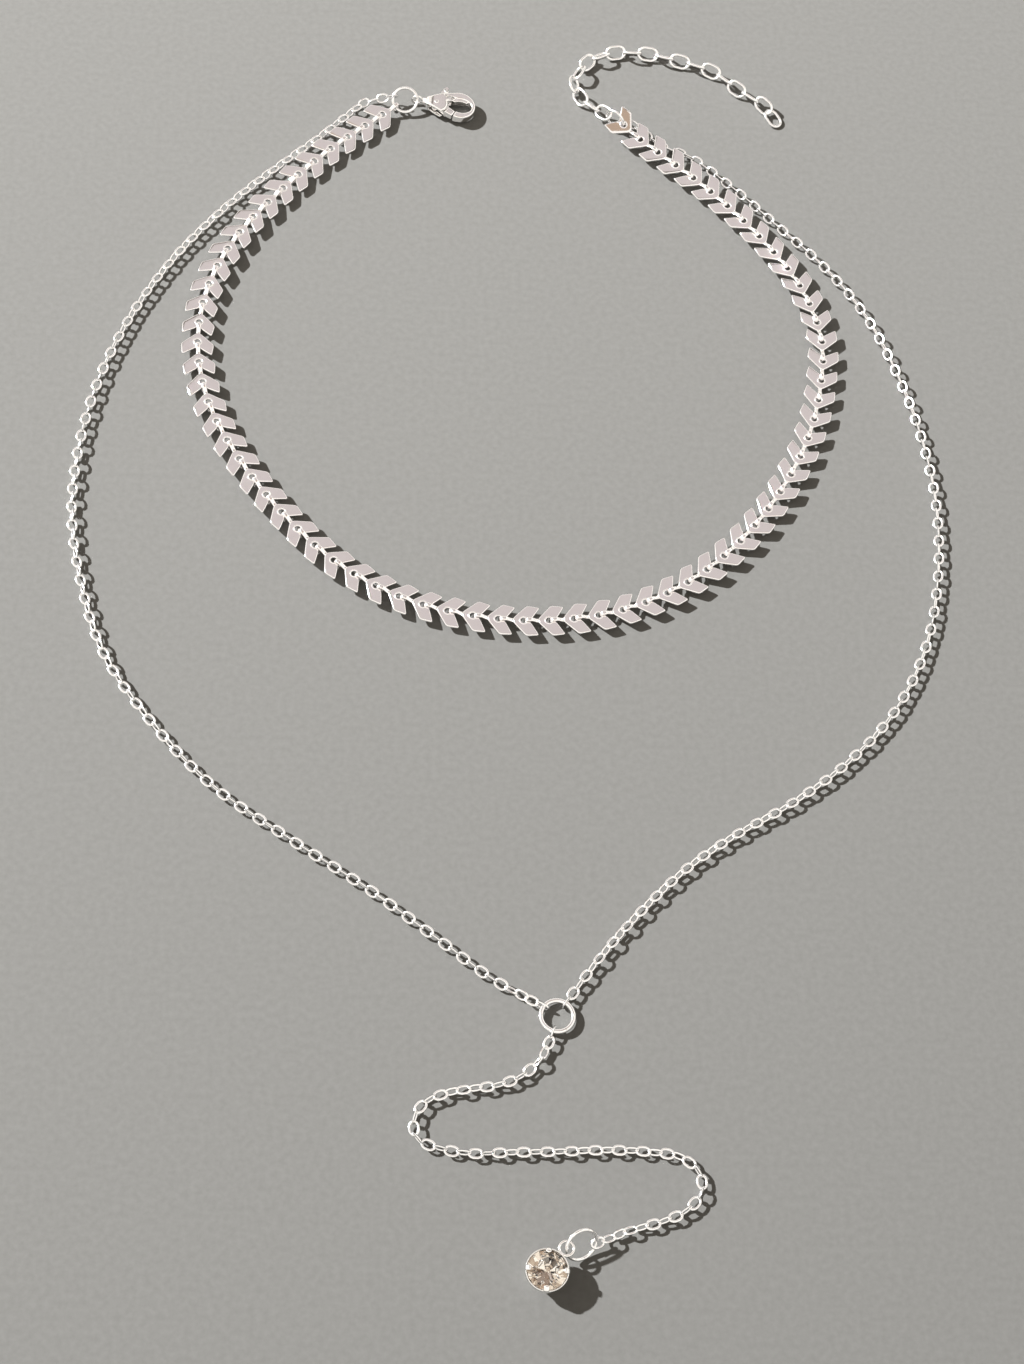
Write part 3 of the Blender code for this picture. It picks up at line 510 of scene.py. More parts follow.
def geometry_tree(name, inputs):
    """An empty Geometry Nodes tree with named inputs, and its input sockets."""
    tree = bpy.data.node_groups.new(name, "GeometryNodeTree")
    tree.interface.new_socket("Geometry", in_out="OUTPUT", socket_type="NodeSocketGeometry")
    for label, kind in (("Geometry", "Geometry"), *inputs):
        tree.interface.new_socket(label, in_out="INPUT", socket_type="NodeSocket" + kind)
    return tree, add_node(tree, "NodeGroupInput").outputs


def end_tree(tree, instances, finish):
    """Realizes a tree's instances and gives them their finish."""
    solid = add_node(tree, "GeometryNodeRealizeInstances", {"Geometry": instances})
    surfaced = add_node(tree, "GeometryNodeSetMaterial", {
        "Geometry": solid.outputs["Geometry"], "Material": finish})
    add_node(tree, "NodeGroupOutput", {"Geometry": surfaced.outputs["Geometry"]})
    return tree


def plates_tree():
    """Puts a plate at each point, turned as the point says, with a slight wobble."""
    tree, given = geometry_tree("plates along a strand", (
        ("Plate", "Object"), ("Wobble", "Float"), ("Seed", "Int"), ("Silver", "Material")))
    plate = add_node(tree, "GeometryNodeObjectInfo", {"Object": given["Plate"]})
    turn = add_node(tree, "GeometryNodeInputNamedAttribute", {"Name": "turn"}, data_type="FLOAT_VECTOR")
    turned = add_node(tree, "FunctionNodeEulerToRotation", {"Euler": turn.outputs["Attribute"]})
    least = add_node(tree, "ShaderNodeMath", {0: given["Wobble"], 1: -1.0}, operation="MULTIPLY")
    low = add_node(tree, "ShaderNodeCombineXYZ", {"X": least.outputs[0], "Y": least.outputs[0]})
    high = add_node(tree, "ShaderNodeCombineXYZ", {"X": given["Wobble"], "Y": given["Wobble"]})
    chance = add_node(tree, "FunctionNodeRandomValue", {
        "Min": low.outputs[0], "Max": high.outputs[0], "Seed": given["Seed"]}, data_type="FLOAT_VECTOR")
    wobble = add_node(tree, "FunctionNodeEulerToRotation", {"Euler": chance.outputs["Value"]})
    both = add_node(tree, "FunctionNodeRotateRotation", {
        "Rotation": turned.outputs[0], "Rotate By": wobble.outputs[0]}, rotation_space="LOCAL")
    plates = add_node(tree, "GeometryNodeInstanceOnPoints", {
        "Points": given["Geometry"], "Instance": plate.outputs["Geometry"], "Rotation": both.outputs[0]})
    return end_tree(tree, plates.outputs["Instances"], given["Silver"])


def run_tree(name, mesh, tree, values):
    """A piece made by a tree from a mesh of points or edges, as a plain mesh at the origin."""
    source = placed(name + "_source", mesh)
    modifier = source.modifiers.new("make", "NODES")
    modifier.node_group = tree
    for item in tree.interface.items_tree:
        if item.in_out == "INPUT" and item.name in values:
            modifier[item.identifier] = values[item.name]
    made = plain_mesh(source)
    made.name = name
    return placed(name, made)


plates = plate_frames()
plate_points = bpy.data.meshes.new("plate_points")
plate_points.from_pydata([f.translation for f in plates], [], [])
turns = plate_points.attributes.new("turn", "FLOAT_VECTOR", "POINT")
for point, plate_frame in zip(turns.data, plates):
    point.vector = plate_frame.to_euler()
one_plate = placed("one_plate", chevron_plate())
choker = run_tree("choker_plates", plate_points, plates_tree(), {
    "Plate": one_plate, "Wobble": PLATE_WOBBLE, "Seed": 4, "Silver": plate_silver})
bpy.data.objects.remove(one_plate)
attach(choker, "necklace")
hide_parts("chevron_chain")

# Rings: four round wire rings that join the strands, closed butt to butt with a hairline seam. The
# centre ring is thick and lies flat; the others lean or stand as their links hold them.
CLASP_RING_RADIUS = 0.0025
CLASP_RING_WIRE = 0.00065
CLASP_RING_TILT = math.radians(26)
EXTENDER_RING_RADIUS = 0.0021
EXTENDER_RING_WIRE = 0.00055
CENTRE_RING_RADIUS = 0.0028
CENTRE_RING_WIRE = 0.0009
PENDANT_RING_RADIUS = 0.00275
PENDANT_RING_WIRE = 0.00062
PENDANT_RING_TILT = math.radians(38)
PENDANT_RING_ROLL = math.radians(40)
TILTED_RING_TURN = math.radians(-11)
RING_SEAM = 0.00004
RING_SIDES = 72
RING_WIRE_SIDES = 16

ring_silver = silver("ring_silver", (0.975, 0.965, 0.955), (0.94, 0.925, 0.915), 0.05, 0.13, 0.04)


def centre_of(node):
    """The middle of a solid's box."""
    low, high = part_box(node)
    return (low + high) / 2


def wire_ring(node, lean, radius, wire, seam_angle):
    """A ring of round wire where its solid is, its two ends a hairline apart at the seam. It gives back
    its place, radius and wire, for what hooks on to it."""
    place = Matrix.Translation(centre_of(node)) @ lean
    seam = RING_SEAM / radius
    mesh = wire_loop(radius, wire, RING_SIDES, RING_WIRE_SIDES, 2 * math.pi - seam)
    mesh.transform(place @ Matrix.Rotation(math.radians(seam_angle) + seam / 2, 4, "Z"))
    ring = placed(node + "_wire", shaded(mesh), ring_silver)
    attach(ring, "necklace")
    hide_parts(node)
    return place, radius, wire


back = plates[0].to_3x3() @ Vector((-1, 0, 0))
back.z = 0
back.normalize()
ring_turn = Matrix.Rotation(TILTED_RING_TURN, 4, "Z")
clasp_ring = wire_ring("clasp_ring", ring_turn @ Matrix.Rotation(CLASP_RING_TILT, 4, "X"),
                       CLASP_RING_RADIUS, CLASP_RING_WIRE, 80)
extender_ring = wire_ring("extender_ring", frame_at(Vector(), back, UP), EXTENDER_RING_RADIUS,
                          EXTENDER_RING_WIRE, 60)
centre_ring = wire_ring("centre_ring", Matrix.Identity(4), CENTRE_RING_RADIUS, CENTRE_RING_WIRE, 300)
pendant_ring = wire_ring("pendant_ring", ring_turn @ Matrix.Rotation(PENDANT_RING_ROLL, 4, "Y")
                         @ Matrix.Rotation(PENDANT_RING_TILT, 4, "X"),
                         PENDANT_RING_RADIUS, PENDANT_RING_WIRE, 320)

# Fine cable chains: oval links of fine round wire, each turned a quarter from the last, soldered shut.
# The first and last link of each chain are round the rings' wire.
CABLE_LINK_LENGTH = 0.00281
CABLE_LINK_WIDTH = 0.00205
CABLE_WIRE_WIDTH = 0.00044
CABLE_BEND_STRETCH = 0.3
CABLE_EASED_LINKS = 5
CABLE_ROLL_SPREAD = math.radians(7)
CABLE_WIRE_THICKNESS = 0.00042
CABLE_PITCH = 0.001987
CABLE_TUBE_WIRE = 0.00045
CABLE_TUBE_LENGTH = 0.0027
TABLE_PLAY = 0.00006
LINK_PLAY = 0.00015
CENTRE_HOOK_LEFT = math.radians(143)
CENTRE_HOOK_RIGHT = math.radians(57)
CENTRE_HOOK_DROP = math.radians(256)
CLASP_RING_HOOK_CHAIN = math.radians(174)
PENDANT_RING_HOOK_CHAIN = math.radians(25)
LONG_LEFT_ROUTE = [
    (-0.0281, 0.1141), (-0.0312, 0.1111), (-0.0372, 0.1047), (-0.0460, 0.0961), (-0.0565, 0.0848),
    (-0.0661, 0.0716), (-0.0733, 0.0578), (-0.0786, 0.0423), (-0.0813, 0.0267), (-0.0817, 0.0144),
    (-0.0792, -0.0010), (-0.0741, -0.0163), (-0.0661, -0.0284), (-0.0542, -0.0417), (-0.0401, -0.0520),
    (-0.0271, -0.0608), (-0.0150, -0.0700), (-0.0041, -0.0783),
]
LONG_RIGHT_ROUTE = [
    (0.0263, 0.1120), (0.0285, 0.1101), (0.0334, 0.1059), (0.0380, 0.1039), (0.0463, 0.0967),
    (0.0552, 0.0872), (0.0647, 0.0765), (0.0716, 0.0657), (0.0771, 0.0510), (0.0804, 0.0367),
    (0.0818, 0.0221), (0.0806, 0.0053), (0.0759, -0.0123), (0.0688, -0.0249), (0.0595, -0.0349),
    (0.0485, -0.0433), (0.0377, -0.0499), (0.0297, -0.0557), (0.0208, -0.0643), (0.0136, -0.0726),
]
DROP_ROUTE = [
    (0.0024, -0.0915), (-0.0004, -0.0943), (-0.0047, -0.0962), (-0.0097, -0.0970), (-0.0146, -0.0981),
    (-0.0176, -0.0998), (-0.0190, -0.1025), (-0.0187, -0.1053), (-0.0147, -0.1073), (-0.0098, -0.1081),
    (-0.0032, -0.1079), (0.0051, -0.1077), (0.0135, -0.1074), (0.0202, -0.1077), (0.0261, -0.1090),
    (0.0285, -0.1120), (0.0280, -0.1152), (0.0258, -0.1175), (0.0211, -0.1196), (0.0161, -0.1210),
]

cable_silver = silver("cable_silver", (0.975, 0.965, 0.955), (0.945, 0.93, 0.92), 0.08, 0.18, 0.05)
cable_rest = CABLE_LINK_WIDTH / 2 + TABLE_PLAY


def links_tree():
    """Oval links spaced evenly along a route, each a quarter turn from the last, at the route's roll."""
    tree, given = geometry_tree("links along a route", (
        ("Links", "Int"), ("Link Length", "Float"), ("Link Width", "Float"), ("Wire Width", "Float"),
        ("Wire Thickness", "Float"), ("Wire Sides", "Int"), ("Bend Sides", "Int"), ("Bend Stretch", "Float"),
        ("Quarter Turn", "Float"), ("Roll Spread", "Float"), ("Seed", "Int"), ("Silver", "Material")))

    def math_node(operation, *values):
        node = add_node(tree, "ShaderNodeMath", dict(enumerate(values)), operation=operation)
        return node.outputs[0]

    route = add_node(tree, "GeometryNodeMeshToCurve", {"Mesh": given["Geometry"]})
    spots = add_node(tree, "GeometryNodeResampleCurve", {
        "Curve": route.outputs["Curve"], "Count": given["Links"]}, mode="COUNT")
    forward = add_node(tree, "GeometryNodeInputTangent")
    aimed = add_node(tree, "FunctionNodeAxesToRotation", {
        "Primary Axis": forward.outputs["Tangent"], "Secondary Axis": (0, 0, 1)},
                     primary_axis="X", secondary_axis="Z")
    roll = add_node(tree, "GeometryNodeInputNamedAttribute", {"Name": "roll"}, data_type="FLOAT")
    order = add_node(tree, "GeometryNodeInputIndex")
    odd = math_node("MODULO", order.outputs["Index"], 2.0)
    quarter = math_node("MULTIPLY", odd, given["Quarter Turn"])
    least = math_node("MULTIPLY", given["Roll Spread"], -1.0)
    chance = add_node(tree, "FunctionNodeRandomValue", {
        2: least, 3: given["Roll Spread"], "Seed": given["Seed"]}, data_type="FLOAT")
    angle = math_node("ADD", math_node("ADD", roll.outputs["Attribute"], quarter), chance.outputs[1])
    rolled = add_node(tree, "FunctionNodeAxisAngleToRotation", {"Axis": (1, 0, 0), "Angle": angle})
    turned = add_node(tree, "FunctionNodeRotateRotation", {
        "Rotation": aimed.outputs[0], "Rotate By": rolled.outputs[0]}, rotation_space="LOCAL")
    bend = math_node("MULTIPLY", math_node("SUBTRACT", given["Link Width"], given["Wire Width"]), 0.5)
    half_length = math_node("MULTIPLY", math_node("SUBTRACT", given["Link Length"], given["Wire Width"]), 0.5)
    reach = math_node("SUBTRACT", half_length, bend)
    round_link = add_node(tree, "GeometryNodeCurvePrimitiveCircle", {
        "Resolution": given["Bend Sides"], "Radius": bend})
    place = add_node(tree, "GeometryNodeInputPosition")
    side = add_node(tree, "ShaderNodeSeparateXYZ", {"Vector": place.outputs["Position"]})
    straight = math_node("SUBTRACT", reach, math_node("MULTIPLY", bend, given["Bend Stretch"]))
    shift = math_node("ADD", math_node("MULTIPLY", math_node("SIGN", side.outputs["X"]), straight),
                      math_node("MULTIPLY", side.outputs["X"], given["Bend Stretch"]))
    offset = add_node(tree, "ShaderNodeCombineXYZ", {"X": shift})
    oval = add_node(tree, "GeometryNodeSetPosition", {
        "Geometry": round_link.outputs["Curve"], "Offset": offset.outputs[0]})
    wire = add_node(tree, "GeometryNodeCurvePrimitiveCircle", {
        "Resolution": given["Wire Sides"], "Radius": 0.5})
    flat = add_node(tree, "ShaderNodeCombineXYZ", {
        "X": given["Wire Width"], "Y": given["Wire Thickness"], "Z": 1.0})
    section = add_node(tree, "GeometryNodeTransform", {
        "Geometry": wire.outputs["Curve"], "Scale": flat.outputs[0]})
    link = add_node(tree, "GeometryNodeCurveToMesh", {
        "Curve": oval.outputs["Geometry"], "Profile Curve": section.outputs["Geometry"]})
    links = add_node(tree, "GeometryNodeInstanceOnPoints", {
        "Points": spots.outputs["Curve"], "Instance": link.outputs["Mesh"], "Rotation": turned.outputs[0]})
    return end_tree(tree, links.outputs["Instances"], given["Silver"])


link_chain = links_tree()


def on_ring(ring, angle):
    """The middle of a ring's wire at an angle, and the way the wire runs there."""
    place, radius, _ = ring
    middle = place @ Vector((radius * math.cos(angle), radius * math.sin(angle), 0))
    return middle, place.to_3x3() @ Vector((-math.sin(angle), math.cos(angle), 0))


def hooked_link(ring, angle, toward):
    """The middle of the link round a ring's wire, and its roll there."""
    hook, run = on_ring(ring, angle)
    pull = (Vector((*toward, cable_rest)) - hook).normalized()
    side = run.cross(pull)
    slant = side.length
    side.normalize()
    reach = ((CABLE_TUBE_WIRE + ring[2]) / 2 + LINK_PLAY) / slant
    middle = hook + pull * ((CABLE_TUBE_LENGTH - CABLE_TUBE_WIRE) / 2 - reach)
    level = UP.cross(pull).normalized()
    return middle, math.atan2(side.dot(pull.cross(level)), side.dot(level))


def route_mesh(path, rolls):
    """A line of edges along a path, with the roll that a link has there."""
    line, lengths = path
    mesh = bpy.data.meshes.new("route")
    mesh.from_pydata(line, [(i, i + 1) for i in range(len(line) - 1)], [])
    roll = mesh.attributes.new("roll", "FLOAT", "POINT")
    for point, distance in zip(roll.data, lengths):
        point.value = rolls(distance)
    return mesh


def nearest_turn(angle, target):
    """The angle, give or take half turns, that is nearest to a target."""
    return angle + math.pi * round((target - angle) / math.pi)


def cable_chain(name, node, route, start, end, lying, seed):
    """A cable chain between its hooks on two rings. Its rolls ease from those of its two end links into
    the roll at which it lies: a mean, a swing and the swing's waves."""
    first_middle, first_roll = hooked_link(*start, route[0])
    last_middle, last_roll = hooked_link(*end, route[-1])
    path = smooth_path([first_middle, *[(x, y, cable_rest) for x, y in route], last_middle])
    length = path[1][-1]
    count = round(length / CABLE_PITCH) + 1
    quarter = math.pi / 2
    mean, swing, waves = lying

    def lie(share):
        return math.radians(mean + swing * math.sin(waves * share))

    first = nearest_turn(first_roll, lie(0.0))
    last = nearest_turn(last_roll - quarter * ((count - 1) % 2), lie(1.0))
    ease = length / (count - 1) * CABLE_EASED_LINKS

    def rolls(distance):
        near_start = max(0.0, 1 - distance / ease)
        near_end = max(0.0, 1 - (length - distance) / ease)
        free = lie(distance / length)
        return free + (first - free) * near_start + (last - free) * near_end

    chain = run_tree(name, route_mesh(path, rolls), link_chain, {
        "Links": count, "Link Length": CABLE_LINK_LENGTH, "Link Width": CABLE_LINK_WIDTH,
        "Wire Width": CABLE_WIRE_WIDTH, "Wire Thickness": CABLE_WIRE_THICKNESS, "Wire Sides": 6,
        "Bend Sides": 14, "Bend Stretch": CABLE_BEND_STRETCH, "Quarter Turn": quarter,
        "Roll Spread": CABLE_ROLL_SPREAD, "Seed": seed, "Silver": cable_silver})
    shaded(chain.data, 60)
    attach(chain, "necklace")
    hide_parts(node)
    return chain


cable_chain("long_cable_left", "long_chain_left", LONG_LEFT_ROUTE, (clasp_ring, CLASP_RING_HOOK_CHAIN),
            (centre_ring, CENTRE_HOOK_LEFT), (0, 20, 9), 11)
cable_chain("long_cable_right", "long_chain_right", LONG_RIGHT_ROUTE, (extender_ring, -math.pi / 2),
            (centre_ring, CENTRE_HOOK_RIGHT), (25, 15, 7), 12)
cable_chain("drop_cable", "drop_chain", DROP_ROUTE, (centre_ring, CENTRE_HOOK_DROP),
            (pendant_ring, PENDANT_RING_HOOK_CHAIN), (0, 15, 8), 13)

# Extender chain: 19 larger oval links of round wire, lying at mixed angles, the first round its ring
# and the last one free.
EXTENDER_LINKS = 19
EXTENDER_LINK_WIDTH = 0.0032
EXTENDER_WIRE = 0.00062
EXTENDER_PITCH = 0.00345
EXTENDER_TURN = math.radians(45)
EXTENDER_BEND_STRETCH = 0.2
EXTENDER_ROLL_SPREAD = math.radians(5)
EXTENDER_END_DROP = 0.0006
EXTENDER_HOOK_SHARE = 0.3
EXTENDER_ROUTE = [
    (0.0182, 0.1163), (0.0160, 0.1190), (0.0154, 0.1216), (0.0172, 0.1257), (0.0193, 0.1284),
    (0.0226, 0.1300), (0.0262, 0.1307), (0.0299, 0.1306), (0.0333, 0.1303), (0.0368, 0.1292),
    (0.0404, 0.1283), (0.0440, 0.1269), (0.0467, 0.1251), (0.0493, 0.1224), (0.0520, 0.1204),
    (0.0550, 0.1180), (0.0570, 0.1150), (0.0590, 0.1128), (0.0610, 0.1110), (0.0628, 0.1088),
]

extender_silver = silver("extender_silver", (0.975, 0.965, 0.955), (0.94, 0.925, 0.91), 0.06, 0.15, 0.05)
extender_height = (EXTENDER_LINK_WIDTH - EXTENDER_WIRE) * math.sin(EXTENDER_TURN) + EXTENDER_WIRE
extender_rest = extender_height / 2 + TABLE_PLAY
first_joint = (on_ring(extender_ring, 0)[0]
               - back * (EXTENDER_RING_WIRE / 2 + LINK_PLAY + EXTENDER_WIRE * EXTENDER_HOOK_SHARE))
extender_path = smooth_path([first_joint, *[(x, y, extender_rest) for x, y in EXTENDER_ROUTE]])
link_middles = [along(extender_path, (k + 0.5) * EXTENDER_PITCH) for k in range(EXTENDER_LINKS)]
link_middles[-1].z -= EXTENDER_END_DROP
middle_lengths = [k * EXTENDER_PITCH for k in range(EXTENDER_LINKS)]


def extender_roll(distance):
    """The roll of the links, but for the free last one, which lies flat."""
    return 0.0 if distance > middle_lengths[-2] else -EXTENDER_TURN


extender = run_tree(
    "extender_links", route_mesh((link_middles, middle_lengths), extender_roll), link_chain, {
        "Links": EXTENDER_LINKS, "Link Length": EXTENDER_PITCH + 2 * EXTENDER_WIRE,
        "Link Width": EXTENDER_LINK_WIDTH, "Wire Width": EXTENDER_WIRE, "Wire Thickness": EXTENDER_WIRE,
        "Wire Sides": 10, "Bend Sides": 26, "Bend Stretch": EXTENDER_BEND_STRETCH,
        "Quarter Turn": 2 * EXTENDER_TURN, "Roll Spread": EXTENDER_ROLL_SPREAD, "Seed": 21,
        "Silver": extender_silver})
shaded(extender.data, 60)
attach(extender, "necklace")
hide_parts("extender_chain")

# Lobster clasp: a cast body with an eye on a turned neck, two cheeks and a hooked loop, plated like the
# rings. Its lever turns on a riveted pin between the cheeks, with a thumb nub above and the gate below.
CLASP_THICKNESS = 0.0024
CLASP_NECK_HALF_WIDTH = 0.0008
CLASP_LOOP_RADIUS = 0.0033
CLASP_LOOP_CENTRE = 0.0087
CLASP_OPENING_LENGTH = 0.0044
CLASP_OPENING_WIDTH = 0.0035
CLASP_PIVOT = (0.0039, -0.0005)
CLASP_CHEEK_RADIUS = 0.0024
CLASP_PIN_RADIUS = 0.0004
CLASP_EYE_RADIUS = 0.0010
CLASP_EYE_WIRE = 0.0005
CLASP_GAP = 0.00012
CLASP_ROLL = 0.00037
CLASP_TURN = math.radians(-6)
CLASP_RING_HOOK_EYE = math.radians(12)
CLASP_ARM_WIDTH = 0.0006
CLASP_GRAIN = 0.00006
CLASP_THINNEST = 0.77
CLASP_NECK_SHARE = 0.58
CLASP_LOOP_SHARE = 0.75
LEVER_TANG_THICKNESS = 0.0008
LEVER_GATE_THICKNESS = 0.0018
LEVER_DISC_RADIUS = 0.0010
LEVER_ROLL = 0.0003

clasp_silver = silver("clasp_silver", (0.975, 0.96, 0.945), (0.94, 0.92, 0.90), 0.05, 0.13, 0.03)

clasp_seat, _ = on_ring(clasp_ring, CLASP_RING_HOOK_EYE)
clasp_length = CLASP_LOOP_CENTRE + CLASP_LOOP_RADIUS
clasp_fall = math.asin((clasp_seat.z - CLASP_THICKNESS / 2) / clasp_length)
clasp_frame = Matrix.Translation(clasp_seat) @ Euler((0, clasp_fall, CLASP_TURN)).to_matrix().to_4x4()
neck_start = CLASP_EYE_RADIUS + CLASP_EYE_WIRE / 2
loop_centre = (CLASP_LOOP_CENTRE, 0)
opening_centre = (CLASP_LOOP_CENTRE + 0.0003, -0.0001)
half_opening = (CLASP_OPENING_LENGTH / 2, CLASP_OPENING_WIDTH / 2)
slot_height = LEVER_TANG_THICKNESS + 2 * CLASP_GAP


def eased(value, low, high):
    """0 up to low, 1 from high, and a smooth rise between them."""
    share = min(1.0, max(0.0, (value - low) / (high - low)))
    return share * share * (3 - 2 * share)


def thinned(mesh):
    """The mesh, thinner towards the clasp's neck and its loop, as the casting is."""
    for corner in mesh.vertices:
        neck = 1 - (1 - CLASP_NECK_SHARE) * eased(corner.co.x, CLASP_PIVOT[0], neck_start)
        loop = 1 - (1 - CLASP_LOOP_SHARE) * eased(corner.co.x, CLASP_PIVOT[0], CLASP_LOOP_CENTRE)
        corner.co.z *= neck * loop
    return mesh


def cast(mesh, grain, rounds):
    """The mesh with the soft edges of a casting. It is worked a thousand times as large, because the
    remesher takes no grain under a tenth of a millimetre."""
    mesh.transform(Matrix.Scale(1000, 4))
    thing = placed("rough", mesh)
    skin = thing.modifiers.new("skin", "REMESH")
    skin.mode = "VOXEL"
    skin.voxel_size = grain * 1000
    tumble = thing.modifiers.new("tumble", "SMOOTH")
    tumble.factor = 0.5
    tumble.iterations = rounds
    result = plain_mesh(thing)
    result.transform(Matrix.Scale(0.001, 4))
    return result


def together(*meshes):
    """One mesh of several closed ones that overlap, before they are cast as one."""
    shape = bmesh.new()
    for mesh in meshes:
        shape.from_mesh(mesh)
    return closed_mesh(shape)


def button(radius, half_height, steps=28):
    """A low round bead, flat on its two ends."""
    return turned([(0, -half_height), (radius * 0.7, -half_height), (radius * 0.93, -half_height * 0.7),
                   (radius, 0), (radius * 0.93, half_height * 0.7), (radius * 0.7, half_height),
                   (0, half_height)], steps)


def clasp_casting():
    """The clasp's body about its eye, with its slot for the lever and the pocket in its upper cheek."""
    neck_end = neck_start + CLASP_EYE_WIRE * 1.2
    outline = [
        (neck_end, -CLASP_NECK_HALF_WIDTH),
        (CLASP_PIVOT[0] - LEVER_DISC_RADIUS * 1.9, CLASP_PIVOT[1] - LEVER_DISC_RADIUS * 0.55),
        (CLASP_PIVOT[0] - LEVER_DISC_RADIUS, CLASP_PIVOT[1] - LEVER_DISC_RADIUS * 1.1),
    ]
    outline += arc(CLASP_PIVOT, CLASP_CHEEK_RADIUS, CLASP_CHEEK_RADIUS, -62, 22, 14)
    outline += arc(opening_centre, *half_opening, 150, -115, 34)
    outline += arc(loop_centre, CLASP_LOOP_RADIUS, CLASP_LOOP_RADIUS, -110, 105, 40)
    outline += [(CLASP_PIVOT[0] + LEVER_DISC_RADIUS, CLASP_LOOP_RADIUS * 0.66)]
    outline += [(CLASP_PIVOT[0] - LEVER_DISC_RADIUS, CLASP_LOOP_RADIUS * 0.38)]
    outline += [(neck_end, CLASP_NECK_HALF_WIDTH)]
    body = sheet_of([outline], CLASP_THICKNESS, CLASP_ROLL, 4)
    arm = arc(opening_centre, half_opening[0] + CLASP_ROLL, half_opening[1] + CLASP_ROLL, 50, 150, 20)
    arm += arc(opening_centre, half_opening[0] - CLASP_ARM_WIDTH * 0.6, half_opening[1] - CLASP_ARM_WIDTH,
               140, 50, 20)
    inner_arm = sheet_of([arm], CLASP_THICKNESS * 0.8, CLASP_ARM_WIDTH / 3, 3)
    eye = wire_loop(CLASP_EYE_RADIUS, CLASP_EYE_WIRE, 36, 14)
    eye.transform(Matrix.Rotation(math.pi / 2, 4, "X"))
    beads = []
    for k in range(2):
        bead = button(CLASP_NECK_HALF_WIDTH * (0.92 + 0.12 * k), CLASP_EYE_WIRE * 0.45)
        bead.transform(Matrix.Translation((neck_start + CLASP_EYE_WIRE * (0.1 + 0.8 * k), 0, 0))
                       @ Matrix.Rotation(math.pi / 2, 4, "Y"))
        beads.append(bead)
    slot_start = CLASP_PIVOT[0] - LEVER_DISC_RADIUS - CLASP_GAP * 3
    slot_end = opening_centre[0] - half_opening[0] + CLASP_GAP * 2
    reach = CLASP_LOOP_RADIUS * 1.5
    slot = sheet_of([[(slot_start, -reach), (slot_end, -reach), (slot_end, reach), (slot_start, reach)]],
                    slot_height / CLASP_THINNEST, 0.0)
    pocket_reach = [half + CLASP_ROLL * 0.4 for half in half_opening]
    pocket = arc(opening_centre, *pocket_reach, 152, 104, 10)
    pocket += arc(CLASP_PIVOT, CLASP_CHEEK_RADIUS * 1.12, CLASP_CHEEK_RADIUS * 1.12, 62, 30, 8)
    recess = sheet_of([pocket], CLASP_THICKNESS, 0.0)
    recess.transform(Matrix.Translation(UP * CLASP_THICKNESS / 2))
    cut = united(body, slot, recess, operation="DIFFERENCE")
    rivet = button(CLASP_PIN_RADIUS * 1.3, CLASP_THICKNESS * 0.55, 20)
    rivet.transform(Matrix.Translation((*CLASP_PIVOT, 0)))
    body = thinned(cast(together(cut, inner_arm), CLASP_GRAIN, 6))
    return cast(together(body, eye, *beads, rivet), CLASP_GRAIN, 3)


def lever_stamping():
    """The lever about the clasp's eye: a flat tang with its nub, and the thicker gate."""
    pivot = Vector(CLASP_PIVOT)
    gate_start = CLASP_CHEEK_RADIUS + CLASP_GAP
    hook_outer = Vector(arc(loop_centre, CLASP_LOOP_RADIUS, CLASP_LOOP_RADIUS, -110, -110, 1)[0]) - pivot
    hook_inner = Vector(arc(opening_centre, *half_opening, -115, -115, 1)[0]) - pivot
    gate_reach = abs(hook_outer.cross((hook_inner - hook_outer).normalized())) - CLASP_GAP
    gate = arc(CLASP_PIVOT, gate_start, gate_start, -8, -46, 8)
    gate += arc(CLASP_PIVOT, gate_reach, gate_reach, math.degrees(math.atan2(hook_outer.y, hook_outer.x)),
                math.degrees(math.atan2(hook_inner.y, hook_inner.x)), 5)
    tang = arc(CLASP_PIVOT, LEVER_DISC_RADIUS, LEVER_DISC_RADIUS, 100, 300, 16)
    tang += arc(CLASP_PIVOT, gate_start * 1.15, gate_start * 1.15, -44, -12, 3)
    nub_right = CLASP_PIVOT[0] + LEVER_DISC_RADIUS * 2.3
    nub_top = CLASP_LOOP_RADIUS * 1.22
    tang += [(nub_right, CLASP_PIVOT[1] + LEVER_DISC_RADIUS), (nub_right, nub_top)]
    tang += [(nub_right - LEVER_DISC_RADIUS, nub_top)]
    pin_hole = arc(CLASP_PIVOT, CLASP_PIN_RADIUS + CLASP_GAP, CLASP_PIN_RADIUS + CLASP_GAP, 345, 0, 23)
    flat = sheet_of([tang, pin_hole], LEVER_TANG_THICKNESS, LEVER_ROLL / 4, 2)
    knob = button(LEVER_DISC_RADIUS * 0.48, CLASP_THICKNESS * 0.42, 20)
    knob_back = LEVER_DISC_RADIUS / 2
    knob.transform(Matrix.Translation((nub_right - knob_back, nub_top - knob_back, 0)))
    return united(thinned(sheet_of([gate], LEVER_GATE_THICKNESS, LEVER_ROLL, 4)), flat, knob)


clasp_mesh = clasp_casting()
clasp_mesh.transform(clasp_frame)
clasp = placed("clasp_casting", shaded(clasp_mesh, 75), clasp_silver)
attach(clasp, "necklace")
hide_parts("clasp_body")
lever_mesh = lever_stamping()
lever_mesh.transform(clasp_frame)
lever = placed("clasp_gate", shaded(lever_mesh, 40), clasp_silver)
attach(lever, "lever")
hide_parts("clasp_lever")

